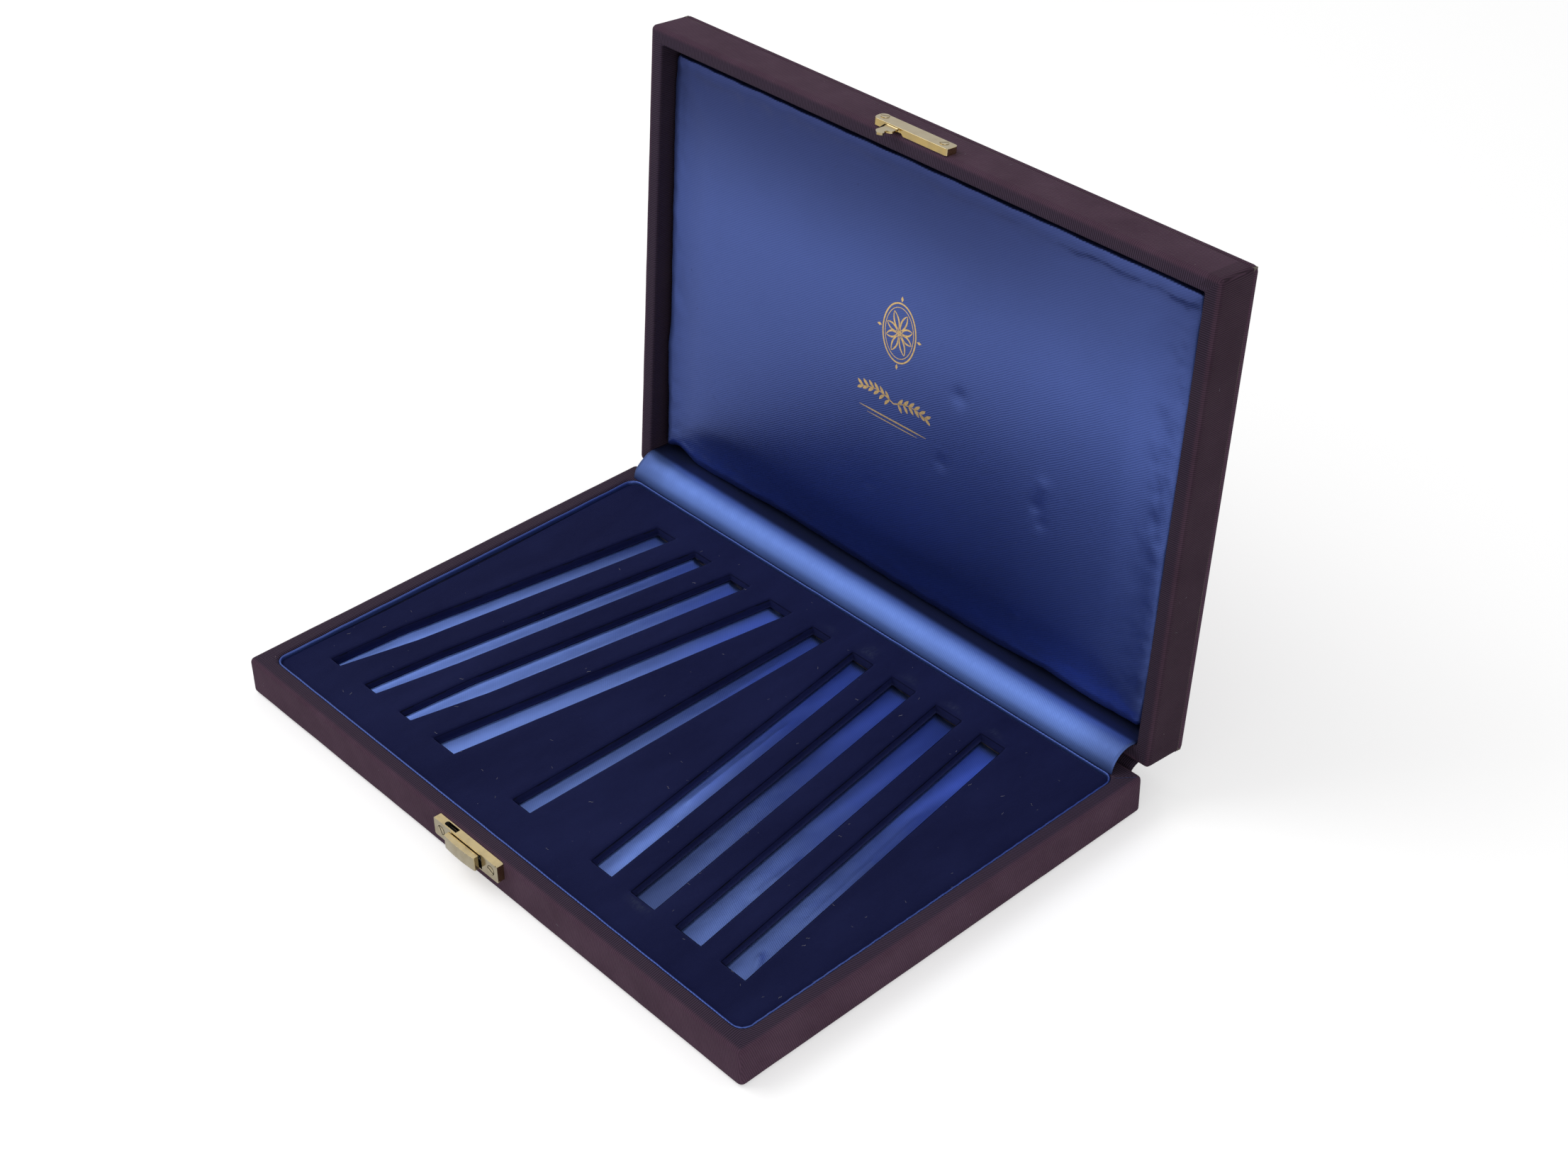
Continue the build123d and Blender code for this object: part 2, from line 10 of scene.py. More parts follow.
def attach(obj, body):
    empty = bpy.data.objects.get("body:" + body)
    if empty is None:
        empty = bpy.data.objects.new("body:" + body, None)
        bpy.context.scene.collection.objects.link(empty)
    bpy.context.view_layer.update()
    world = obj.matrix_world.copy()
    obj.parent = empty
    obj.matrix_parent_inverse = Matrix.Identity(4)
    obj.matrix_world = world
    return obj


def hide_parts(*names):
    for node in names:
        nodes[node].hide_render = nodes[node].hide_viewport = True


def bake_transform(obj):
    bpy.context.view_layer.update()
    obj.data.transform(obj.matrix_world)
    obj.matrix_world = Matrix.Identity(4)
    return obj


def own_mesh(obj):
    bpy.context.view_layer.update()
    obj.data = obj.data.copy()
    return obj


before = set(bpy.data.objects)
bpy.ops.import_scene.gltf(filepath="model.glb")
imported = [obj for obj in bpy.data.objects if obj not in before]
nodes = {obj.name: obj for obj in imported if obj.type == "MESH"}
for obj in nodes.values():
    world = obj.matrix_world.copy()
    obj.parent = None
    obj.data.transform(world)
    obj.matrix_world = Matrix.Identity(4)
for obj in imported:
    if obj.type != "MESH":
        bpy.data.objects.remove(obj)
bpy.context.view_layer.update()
mm = 0.001

# sizes that several pieces share, millimetres, lid drawn shut on the base
box = {"width": 320.0, "depth": 219.1, "baseHeight": 18.1, "wall": 7.6, "lidLow": 18.4,
       "seamLow": 36.9, "boardLow": 37.4, "lidHigh": 40.1, "hingeY": 111.55, "hingeZ": 18.1,
       "openAngle": 95.4}
halfWidth = box["width"] / 2
halfDepth = box["depth"] / 2
innerX = halfWidth - box["wall"]
innerY = halfDepth - box["wall"]
openCos = math.cos(math.radians(-box["openAngle"]))
openSin = math.sin(math.radians(-box["openAngle"]))


def swingOpen(point):
    # from the shut lid to the lid as it stands open
    x, y, z = point
    dy, dz = y - box["hingeY"], z - box["hingeZ"]
    return x, box["hingeY"] + dy * openCos - dz * openSin, box["hingeZ"] + dy * openSin + dz * openCos


def padToShut(x, u, v):
    # u runs from the hinge wall to the front wall of the lid, v from the rim to the cover board
    return (x, halfDepth - u, box["lidLow"] + v)


def wobble(x, y=0.0, z=0.0, scale=1.0):
    return noise.noise(Vector((x * scale, y * scale, z * scale)))


def ease(low, high, value):
    t = min(max((value - low) / (high - low), 0.0), 1.0)
    return t * t * (3 - 2 * t)


def along(table, value):
    # straight lines between the pairs of a table
    if value <= table[0][0]:
        return table[0][1]
    for (a, p), (b, q) in zip(table, table[1:]):
        if value <= b:
            return p + (q - p) * (value - a) / (b - a)
    return table[-1][1]


def smoothAlong(table, value):
    # soft curve through the pairs of a table
    if value <= table[0][0]:
        return table[0][1]
    for k in range(len(table) - 1):
        (a, p), (b, q) = table[k], table[k + 1]
        if value <= b:
            before = table[max(k - 1, 0)][1]
            after = table[min(k + 2, len(table) - 1)][1]
            t = (value - a) / (b - a)
            return 0.5 * (2 * p + (q - before) * t + (2 * before - 5 * p + 4 * q - after) * t * t
                          + (3 * p - before - 3 * q + after) * t * t * t)
    return table[-1][1]


def inScene(name, data):
    thing = bpy.data.objects.new(name, data)
    bpy.context.scene.collection.objects.link(thing)
    return thing


def makePiece(name, points, faces, material, corners=None, lid=False, flip=False, merge=0.002, smooth=True):
    # points in millimetres; corners holds one (u, v) in millimetres for each corner of each face
    mesh = bpy.data.meshes.new(name)
    if lid:
        points = [swingOpen(p) for p in points]
    mesh.from_pydata([(x * mm, y * mm, z * mm) for x, y, z in points], [], faces)
    if corners:
        layer = mesh.uv_layers.new(name="clothRun")
        flat = [value for face in corners for pair in face for value in (pair[0] * mm, pair[1] * mm)]
        layer.data.foreach_set("uv", flat)
    work = bmesh.new()
    work.from_mesh(mesh)
    if merge:
        bmesh.ops.remove_doubles(work, verts=work.verts, dist=merge * mm)
    if flip:
        bmesh.ops.reverse_faces(work, faces=work.faces)
    work.to_mesh(mesh)
    work.free()
    for polygon in mesh.polygons:
        polygon.use_smooth = smooth
    mesh.materials.append(material)
    return inScene(name, mesh)


def outwardFaces(piece):
    work = bmesh.new()
    work.from_mesh(piece.data)
    bmesh.ops.recalc_face_normals(work, faces=work.faces)
    work.to_mesh(piece.data)
    work.free()
    return piece


def paintShadeOnPoints(piece, amount):
    # a mask of painted shade for each point, from its place in millimetres
    mask = piece.data.attributes.new("paintedShade", "FLOAT", "POINT")
    for vertex, value in zip(piece.data.vertices, mask.data):
        value.value = min(max(amount(vertex.co.x / mm, vertex.co.y / mm, vertex.co.z / mm), 0.0), 1.0)


def grid(rows, columns, acrossClosed=False):
    # faces of a grid of points that is stored row by row
    faces = []
    last = columns if acrossClosed else columns - 1
    for i in range(rows - 1):
        for j in range(last):
            k = (j + 1) % columns
            faces.append((i * columns + j, (i + 1) * columns + j, (i + 1) * columns + k, i * columns + k))
    return faces


def gridBorder(rows, columns):
    # the points round a grid with so many rows and columns of faces
    width = columns + 1
    return ([i * width for i in range(rows)] + [rows * width + j for j in range(columns)]
            + [i * width + columns for i in range(rows, 0, -1)] + list(range(columns, 0, -1)))


def slabFaces(rows, columns):
    # faces of two grids of points, the second behind the first, closed along their border
    faces = grid(rows + 1, columns + 1)
    count = (rows + 1) * (columns + 1)
    faces += [tuple(count + k for k in reversed(face)) for face in faces]
    border = gridBorder(rows, columns)
    return faces + [(b, a, count + a, count + b) for a, b in zip(border, border[1:] + border[:1])]


def surfaceTree(piece):
    mesh = piece.data
    return BVHTree.FromPolygons([v.co for v in mesh.vertices], [p.vertices for p in mesh.polygons])


def applied(piece):
    # the piece with its modifiers made real
    bpy.context.view_layer.update()
    evaluated = piece.evaluated_get(bpy.context.evaluated_depsgraph_get())
    mesh = bpy.data.meshes.new_from_object(evaluated)
    piece.modifiers.clear()
    old = piece.data
    piece.data = mesh
    bpy.data.meshes.remove(old)
    return piece


# Materials

def feed(tree, node, inputs):
    # wires each input whose value is a socket, and sets the others
    for key, value in inputs.items():
        if isinstance(value, bpy.types.NodeSocket):
            tree.links.new(value, node.inputs[key])
        else:
            node.inputs[key].default_value = value


def add(tree, kind, inputs=None, **settings):
    node = tree.nodes.new(kind)
    for key, value in settings.items():
        setattr(node, key, value)
    feed(tree, node, inputs or {})
    return node


def newMaterial(name):
    material = bpy.data.materials.new(name)
    material.use_nodes = True
    return material, material.node_tree, material.node_tree.nodes["Principled BSDF"]


def calc(tree, operation, a, b=None, clamp=False):
    inputs = {0: a} if b is None else {0: a, 1: b}
    return add(tree, "ShaderNodeMath", inputs, operation=operation, use_clamp=clamp).outputs[0]


def times(tree, a, b, clamp=False):
    return calc(tree, "MULTIPLY", a, b, clamp)


def plus(tree, a, b, clamp=False):
    return calc(tree, "ADD", a, b, clamp)


def above(tree, value, level, gain):
    # nothing up to a level, then rising towards 1
    return times(tree, calc(tree, "SUBTRACT", value, level, True), gain, True)


def waveOf(tree, turns):
    # a wave between 0 and 1 for each whole turn
    return plus(tree, times(tree, calc(tree, "SINE", times(tree, turns, 2 * math.pi)), 0.5), 0.5)


def mixed(tree, factor, a, b):
    # colour a where the factor is 0, colour b where it is 1
    node = add(tree, "ShaderNodeMix", data_type="RGBA")
    sockets = [socket for socket in node.inputs if socket.enabled]
    for socket, value in zip(sockets, (factor, a, b)):
        if isinstance(value, tuple):
            socket.default_value = (*value, 1.0)
        else:
            tree.links.new(value, socket)
    return [socket for socket in node.outputs if socket.enabled][0]


def ramp(tree, source, stops):
    node = add(tree, "ShaderNodeValToRGB", {"Fac": source})
    elements = node.color_ramp.elements
    for element, (place, colour) in zip(elements, stops):
        element.position = place
        element.color = (*colour, 1.0)
    return node.outputs["Color"]


def noiseOf(tree, vector, scale, detail=3.0, rough=0.5):
    return add(tree, "ShaderNodeTexNoise", {"Vector": vector, "Scale": scale, "Detail": detail,
                                            "Roughness": rough}).outputs["Fac"]


def stretched(tree, vector, scale, turn=(0, 0, 0)):
    node = add(tree, "ShaderNodeMapping", {"Vector": vector, "Rotation": turn, "Scale": scale})
    return node.outputs["Vector"]


def splitOf(tree, vector):
    return add(tree, "ShaderNodeSeparateXYZ", {"Vector": vector}).outputs


def bumped(tree, shader, height, distance, strength):
    bump = add(tree, "ShaderNodeBump", {"Height": height, "Distance": distance, "Strength": strength})
    feed(tree, shader, {"Normal": bump.outputs["Normal"]})


def runVector(tree):
    return add(tree, "ShaderNodeUVMap", uv_map="clothRun").outputs["UV"]


def objectVector(tree):
    return add(tree, "ShaderNodeTexCoord").outputs["Object"]


def maskOf(tree, label):
    return add(tree, "ShaderNodeAttribute", attribute_name=label).outputs["Fac"]


def newGroup(name, inputs, outputs, kind="ShaderNodeTree"):
    # inputs are (label, sort of socket, value), outputs (label, sort of socket)
    tree = bpy.data.node_groups.new(name, kind)
    for label, sort, value in inputs:
        socket = tree.interface.new_socket(name=label, in_out="INPUT", socket_type="NodeSocket" + sort)
        if value is not None:
            socket.default_value = value
    for label, sort in outputs:
        tree.interface.new_socket(name=label, in_out="OUTPUT", socket_type="NodeSocket" + sort)
    return tree, add(tree, "NodeGroupInput").outputs, add(tree, "NodeGroupOutput")


def patternGroup(name, outputs, **values):
    # a shared pattern on a vector, with a plain number for each other input
    inputs = [("Vector", "Vector", None)] + [(label, "Float", value) for label, value in values.items()]
    return newGroup(name, inputs, [(label, "Float") for label in outputs])


def placed(tree, group, vector, **values):
    # the shared pattern in one material, with the material's own values
    return add(tree, "ShaderNodeGroup", {"Vector": vector, **values}, node_tree=group).outputs


def ribbedWeave():
    # ribs across a strip of cloth, u along the strip, in metres
    tree, given, end = patternGroup("ribbedWeave", ("Height", "Groove", "Patches"), RibPitch=0.0009,
                                    Unevenness=0.35)
    vector = given["Vector"]
    split = splitOf(tree, vector)
    drift = times(tree, noiseOf(tree, stretched(tree, vector, (160, 60, 60)), 1.0, 2.0), 1.1)
    rib = waveOf(tree, plus(tree, calc(tree, "DIVIDE", split["X"], given["RibPitch"]), drift))
    threadPitch = 0.00042
    thread = calc(tree, "SINE", times(tree, split["Y"], 2 * math.pi / threadPitch))
    rough = noiseOf(tree, stretched(tree, vector, (1500, 900, 900)), 1.0)
    grit = times(tree, rough, given["Unevenness"])
    feed(tree, end, {"Height": plus(tree, plus(tree, rib, times(tree, thread, 0.13)), grit),
                     "Groove": calc(tree, "SUBTRACT", 1.0, calc(tree, "POWER", rib, 0.6), True),
                     "Patches": noiseOf(tree, vector, 45.0, 4.0, 0.6)})
    return tree


def satinTwill():
    # fine diagonal lines of a satin weave
    tree, given, end = patternGroup("satinTwill", ("Height", "Line", "Slub"), LinePitch=0.0009, LineTurn=0.9)
    vector, turn = given["Vector"], given["LineTurn"]
    split = splitOf(tree, vector)
    across = plus(tree, times(tree, split["X"], calc(tree, "COSINE", turn)),
                  times(tree, split["Y"], calc(tree, "SINE", turn)))
    drift = times(tree, noiseOf(tree, vector, 70.0, 2.0), 1.4)
    line = waveOf(tree, plus(tree, calc(tree, "DIVIDE", across, given["LinePitch"]), drift))
    slub = noiseOf(tree, stretched(tree, vector, (2200, 260, 260)), 1.0)
    feed(tree, end, {"Height": plus(tree, line, times(tree, slub, 0.8)), "Line": line, "Slub": slub})
    return tree


def lintDust():
    # pale specks and faint haze that lie on dark cloth
    tree, given, end = patternGroup("lintDust", ("Speck", "Haze"), SpeckScale=160.0, SpeckSize=0.09)
    vector = given["Vector"]
    cell = add(tree, "ShaderNodeTexVoronoi", {"Vector": vector, "Scale": given["SpeckScale"]}).outputs
    spot = calc(tree, "LESS_THAN", cell["Distance"], given["SpeckSize"])
    rare = calc(tree, "GREATER_THAN", cell["Color"], 0.72)
    haze = noiseOf(tree, vector, 22.0, 5.0, 0.65)
    feed(tree, end, {"Speck": times(tree, spot, rare), "Haze": above(tree, haze, 0.45, 2.0)})
    return tree


def handledMetal():
    # tarnish in patches, dents and fine scratches of a rubbed metal
    tree, given, end = patternGroup("handledMetal", ("Tarnish", "Height"), PatchScale=260.0)
    vector = given["Vector"]
    patch = noiseOf(tree, vector, given["PatchScale"], 5.0)
    fine = noiseOf(tree, stretched(tree, vector, (600, 9000, 9000), (0.2, 0.5, 0.3)), 1.0, 2.0)
    scratch = times(tree, above(tree, fine, 0.55, 4.0), 0.3)
    dents = noiseOf(tree, vector, 900.0, 4.0)
    feed(tree, end, {"Tarnish": above(tree, patch, 0.42, 3.0),
                     "Height": calc(tree, "SUBTRACT", dents, scratch)})
    return tree


def rawGrain():
    # streaks of timber or card
    tree, given, end = patternGroup("rawGrain", ("Streak", "Fleck"), Stretch=12.0)
    across = times(tree, given["Stretch"], 40.0)
    size = add(tree, "ShaderNodeCombineXYZ", {"X": 40.0, "Y": across, "Z": across})
    scaled = add(tree, "ShaderNodeVectorMath", {0: given["Vector"], 1: size.outputs[0]}, operation="MULTIPLY")
    feed(tree, end, {"Streak": noiseOf(tree, scaled.outputs[0], 1.0, 6.0, 0.6),
                     "Fleck": noiseOf(tree, given["Vector"], 2600.0, 2.0)})
    return tree


ribbedWeaveGroup = ribbedWeave()
satinTwillGroup = satinTwill()
lintDustGroup = lintDust()
handledMetalGroup = handledMetal()
rawGrainGroup = rawGrain()

# deep is the painted shade in the grooves of the ribs and on the shaded side; rimGroove and faceGroove set
# how dark that painted groove shade is
coverCloth = {"deep": (0.011, 0.0058, 0.0110), "rib": (0.078, 0.039, 0.066), "worn": (0.112, 0.060, 0.096),
              "rim": (0.066, 0.043, 0.074), "haze": (0.15, 0.115, 0.14), "lint": (0.50, 0.42, 0.42),
              "ribPitch": 0.00090, "faceGroove": 0.50, "rimGroove": 0.95, "sideShade": 0.46, "relief": 0.00015,
              "roughness": 0.80}


def coverClothMaterial():
    material, tree, shader = newMaterial("ribbed cover cloth")
    run = runVector(tree)
    weave = placed(tree, ribbedWeaveGroup, run, RibPitch=coverCloth["ribPitch"])
    dust = placed(tree, lintDustGroup, objectVector(tree), SpeckScale=140.0, SpeckSize=0.018)
    # on the rim the cloth is stretched over the board; there the grooves get deeper painted shade, and the
    # rim colour is a bluer tone painted for the rim's shade
    rim = times(tree, plus(tree, splitOf(tree, run)["Y"], 0.0006), 700.0, True)
    tone = ramp(tree, weave["Patches"], ((0.3, coverCloth["rib"]), (0.72, coverCloth["worn"])))
    folded = mixed(tree, rim, tone, coverCloth["rim"])
    # the mask marks the lid's right side, painted darker as shade, with deeper painted shade in its grooves
    soiledAndShaded = maskOf(tree, "soiledAndShaded")
    folded = mixed(tree, times(tree, soiledAndShaded, coverCloth["sideShade"]), folded, coverCloth["deep"])
    opened = times(tree, rim, coverCloth["rimGroove"] - coverCloth["faceGroove"])
    depth = plus(tree, times(tree, soiledAndShaded, 0.35), plus(tree, opened, coverCloth["faceGroove"]), True)
    # painted shade in the grooves of the ribs
    ribbed = mixed(tree, times(tree, weave["Groove"], depth), folded, coverCloth["deep"])
    hazed = mixed(tree, times(tree, dust["Haze"], 0.10), ribbed, coverCloth["haze"])
    feed(tree, shader, {"Base Color": mixed(tree, dust["Speck"], hazed, coverCloth["lint"]),
                        "Roughness": coverCloth["roughness"], "Specular IOR Level": 0.12})
    bumped(tree, shader, weave["Height"], coverCloth["relief"], 0.8)
    return material


velvet = {"pile": (0.0070, 0.0092, 0.049), "rubbed": (0.014, 0.018, 0.078), "deep": (0.0035, 0.0045, 0.022),
          "scuff": (0.050, 0.062, 0.115), "lint": (0.36, 0.36, 0.42), "sheen": 0.20,
          "sheenTint": (0.25, 0.3, 0.9, 1.0)}


def velvetMaterial():
    material, tree, shader = newMaterial("navy velvet")
    vector = objectVector(tree)
    brushed = noiseOf(tree, stretched(tree, vector, (40, 14, 20), (0, 0, 0.6)), 1.0, 5.0, 0.6)
    pile = noiseOf(tree, vector, 3800.0, 2.0, 0.6)
    tone = ramp(tree, brushed, ((0.34, velvet["pile"]), (0.70, velvet["rubbed"])))
    ragged = noiseOf(tree, stretched(tree, vector, (1400, 420, 700), (0, 0, 0.5)), 1.0, 3.0, 0.6)
    patchy = calc(tree, "SUBTRACT", times(tree, ragged, 2.6), 0.8, True)
    scuffed = mixed(tree, times(tree, maskOf(tree, "scuff"), patchy, True), tone, velvet["scuff"])
    shaded = mixed(tree, times(tree, pile, 0.55), scuffed, velvet["deep"])
    dust = placed(tree, lintDustGroup, vector, SpeckScale=170.0, SpeckSize=0.017)
    feed(tree, shader, {"Base Color": mixed(tree, dust["Speck"], shaded, velvet["lint"]), "Roughness": 0.92,
                        "Specular IOR Level": 0.08, "Sheen Weight": velvet["sheen"], "Sheen Roughness": 0.45,
                        "Sheen Tint": velvet["sheenTint"]})
    bumped(tree, shader, plus(tree, pile, brushed), 0.00025, 0.6)
    return material


def satinMaterial(name, satin):
    # the threads stretch the shine across the run of the cloth
    material, tree, shader = newMaterial(name)
    weave = placed(tree, satinTwillGroup, runVector(tree), LinePitch=satin["linePitch"],
                   LineTurn=satin["lineTurn"])
    tone = mixed(tree, times(tree, weave["Line"], satin["lineShade"]), satin["colour"], satin["shade"])
    soil = noiseOf(tree, objectVector(tree), 26.0, 5.0, 0.6)
    soiledAndShaded = mixed(tree, above(tree, soil, 0.5, 0.9), tone, satin["soiledAndShaded"])
    rough = satin["roughness"]
    slubbed = ramp(tree, weave["Slub"], ((0.2, (rough,) * 3), (0.8, (rough + 0.08,) * 3)))
    threads = add(tree, "ShaderNodeTangent", direction_type="UV_MAP", uv_map="clothRun")
    # the mask of each point mixes the satin towards a darker colour, painted shade
    feed(tree, shader, {"Base Color": mixed(tree, maskOf(tree, "paintedShade"), soiledAndShaded, satin["paintedShade"]),
                        "Metallic": satin["gloss"], "Anisotropic": satin["stretch"], "Roughness": slubbed,
                        "Tangent": threads.outputs["Tangent"]})
    bumped(tree, shader, weave["Height"], satin["relief"], 0.6)
    return material


padSatin = {"colour": (0.122, 0.190, 0.560), "shade": (0.060, 0.094, 0.320), "soiledAndShaded": (0.086, 0.136, 0.400),
            "paintedShade": (0.016, 0.019, 0.070), "linePitch": 0.00095, "lineTurn": 2.15, "lineShade": 0.30,
            "gloss": 0.93, "roughness": 0.38, "stretch": 0.80, "relief": 0.00003}
brightSatin = {"colour": (0.235, 0.375, 0.940), "shade": (0.135, 0.235, 0.700),
               "soiledAndShaded": (0.165, 0.265, 0.700), "paintedShade": (0.020, 0.026, 0.080), "linePitch": 0.00080,
               "lineTurn": 1.05, "lineShade": 0.24, "gloss": 0.90, "roughness": 0.40, "stretch": 0.75,
               "relief": 0.00003}
stripSatin = dict(brightSatin, colour=(0.112, 0.192, 0.500), shade=(0.065, 0.120, 0.370),
                  soiledAndShaded=(0.080, 0.135, 0.370), roughness=0.50, stretch=0.0)
edgingSatin = dict(brightSatin, colour=(0.060, 0.100, 0.330), shade=(0.035, 0.060, 0.220),
                   soiledAndShaded=(0.045, 0.075, 0.240), lineShade=0.30, gloss=0.85, stretch=0.0, relief=0.00004)

brass = {"colour": (0.50, 0.440, 0.300), "warmReflection": (0.60, 0.43, 0.155), "tarnished": (0.32, 0.260, 0.160),
         "dimReflection": (0.170, 0.150, 0.115), "roughness": 0.15, "dull": 0.14}


def brassMaterial():
    # the warm mask paints a warm reflection and the dim mask a dark reflection on faces by the way they look
    material, tree, shader = newMaterial("rubbed brass")
    wear = placed(tree, handledMetalGroup, objectVector(tree), PatchScale=240.0)
    reflectionTone = mixed(tree, maskOf(tree, "warmReflection"), brass["colour"], brass["warmReflection"])
    reflectionTone = mixed(tree, maskOf(tree, "dimReflection"), reflectionTone, brass["dimReflection"])
    tone = mixed(tree, times(tree, wear["Tarnish"], 0.55), reflectionTone, brass["tarnished"])
    rough = plus(tree, times(tree, wear["Tarnish"], brass["dull"]), brass["roughness"])
    feed(tree, shader, {"Base Color": tone, "Metallic": 1.0, "Roughness": rough})
    bumped(tree, shader, wear["Height"], 0.000006, 0.4)
    return material


foilGold = {"colour": (0.86, 0.58, 0.235), "rubbed": (0.50, 0.36, 0.20), "roughness": 0.36}


def foilMaterial():
    material, tree, shader = newMaterial("gold foil")
    patch = noiseOf(tree, objectVector(tree), 900.0, 4.0, 0.6)
    tone = ramp(tree, patch, ((0.48, foilGold["colour"]), (0.72, foilGold["rubbed"])))
    feed(tree, shader, {"Base Color": tone, "Metallic": 0.85, "Roughness": foilGold["roughness"]})
    return material


def plainMaterial(name, colour, roughness):
    material, tree, shader = newMaterial(name)
    tone = noiseOf(tree, objectVector(tree), 1500.0, 2.0)
    dark = tuple(value * 0.6 for value in colour)
    feed(tree, shader, {"Base Color": ramp(tree, tone, ((0.35, colour), (0.65, dark))),
                        "Roughness": roughness})
    return material


def dullMetalMaterial(name, colour, dark, roughness):
    material, tree, shader = newMaterial(name)
    wear = placed(tree, handledMetalGroup, objectVector(tree), PatchScale=320.0)
    feed(tree, shader, {"Base Color": mixed(tree, wear["Tarnish"], colour, dark), "Metallic": 1.0,
                        "Roughness": roughness})
    bumped(tree, shader, wear["Height"], 0.00002, 0.5)
    return material


def grainMaterial(name, light, dark, stretch):
    material, tree, shader = newMaterial(name)
    grain = placed(tree, rawGrainGroup, objectVector(tree), Stretch=stretch)
    tone = ramp(tree, grain["Streak"], ((0.3, light), (0.7, dark)))
    feed(tree, shader, {"Base Color": mixed(tree, times(tree, grain["Fleck"], 0.3), tone, dark),
                        "Roughness": 0.85})
    bumped(tree, shader, grain["Streak"], 0.0001, 0.4)
    return material


slotWall = {"card": (0.115, 0.095, 0.085), "cardDark": (0.045, 0.036, 0.040), "pile": (0.0075, 0.0095, 0.030),
            "glue": (0.075, 0.080, 0.095), "cardTop": 0.01225, "fuzz": 0.0006, "wander": 0.0024}


def slotWallMaterial(name, smudge):
    # card blocks between the slots: dark pile turned down the walls, bare card at the foot
    material, tree, shader = newMaterial(name)
    vector = objectVector(tree)
    ragged = noiseOf(tree, vector, 420.0, 3.0, 0.6)
    wander = noiseOf(tree, vector, 30.0, 2.0)
    uneven = plus(tree, times(tree, ragged, slotWall["fuzz"]), times(tree, wander, slotWall["wander"]))
    bare = calc(tree, "LESS_THAN", plus(tree, splitOf(tree, vector)["Z"], uneven), slotWall["cardTop"])
    grain = placed(tree, rawGrainGroup, vector, Stretch=6.0)
    card = ramp(tree, grain["Streak"], ((0.3, slotWall["card"]), (0.7, slotWall["cardDark"])))
    glue = noiseOf(tree, stretched(tree, vector, (210, 210, 420)), 1.0, 4.0, 0.6)
    pile = mixed(tree, above(tree, glue, 0.45, smudge), slotWall["pile"], slotWall["glue"])
    feed(tree, shader, {"Base Color": mixed(tree, bare, pile, card), "Roughness": 0.95,
                        "Specular IOR Level": 0.08})
    bumped(tree, shader, ragged, 0.0003, 0.5)
    return material


coverClothMat = coverClothMaterial()
velvetMat = velvetMaterial()
padSatinMat = satinMaterial("royal blue satin", padSatin)
brightSatinMat = satinMaterial("light blue satin", brightSatin)
stripSatinMat = satinMaterial("light blue satin strip", stripSatin)
edgingSatinMat = satinMaterial("rolled blue satin", edgingSatin)
brassMat = brassMaterial()
foilMat = foilMaterial()
lintMat = plainMaterial("pale lint", (0.42, 0.41, 0.46), 0.9)
darkLintMat = plainMaterial("blue lint", (0.085, 0.095, 0.19), 0.9)
# painted shade for the faces inside the lock
hollowShadeMat = plainMaterial("painted hollow shade", (0.010, 0.009, 0.010), 0.9)
threadMat = plainMaterial("blue thread", (0.030, 0.048, 0.16), 0.7)
steelMat = dullMetalMaterial("dull hinge steel", (0.36, 0.35, 0.33), (0.20, 0.18, 0.16), 0.42)
timberMat = grainMaterial("raw pine", (0.46, 0.32, 0.19), (0.30, 0.19, 0.10), 9.0)
cardMat = grainMaterial("grey card", (0.19, 0.165, 0.14), (0.11, 0.092, 0.078), 3.0)
slotWallMat = slotWallMaterial("card with velvet turned over", 0.5)
smudgedWallMat = slotWallMaterial("card with glue smudges", 4.0)
print("materials ready")


# Frames of cloth that run round the box

def ringProfile(points, thickness):
    # outer line of (inset, height, corner radius) and the same line a cloth's thickness inside it
    inner = []
    for index, (d, z, r) in enumerate(points):
        before = points[max(index - 1, 0)]
        after = points[min(index + 1, len(points) - 1)]
        dx, dz = after[0] - before[0], after[1] - before[1]
        size = math.hypot(dx, dz) or 1.0
        inner.append((d + dz / size * thickness, z - dx / size * thickness, max(r - 0.3, 0.0)))
    return points + inner[::-1]


def roundedTurn(d, z, radius, start, stop, steps, corner):
    # arc of the profile about a middle, angles in degrees, corner gives the plan radius at an inset
    made = []
    for k in range(steps + 1):
        a = math.radians(start + (stop - start) * k / steps)
        inset = d + radius * math.cos(a)
        made.append((inset, z + radius * math.sin(a), corner(inset)))
    return made


farRun = 400.0    # where the run of the cloth begins when there is no rim
sideRun = 500.0    # shift of the run from one side of the box to the next


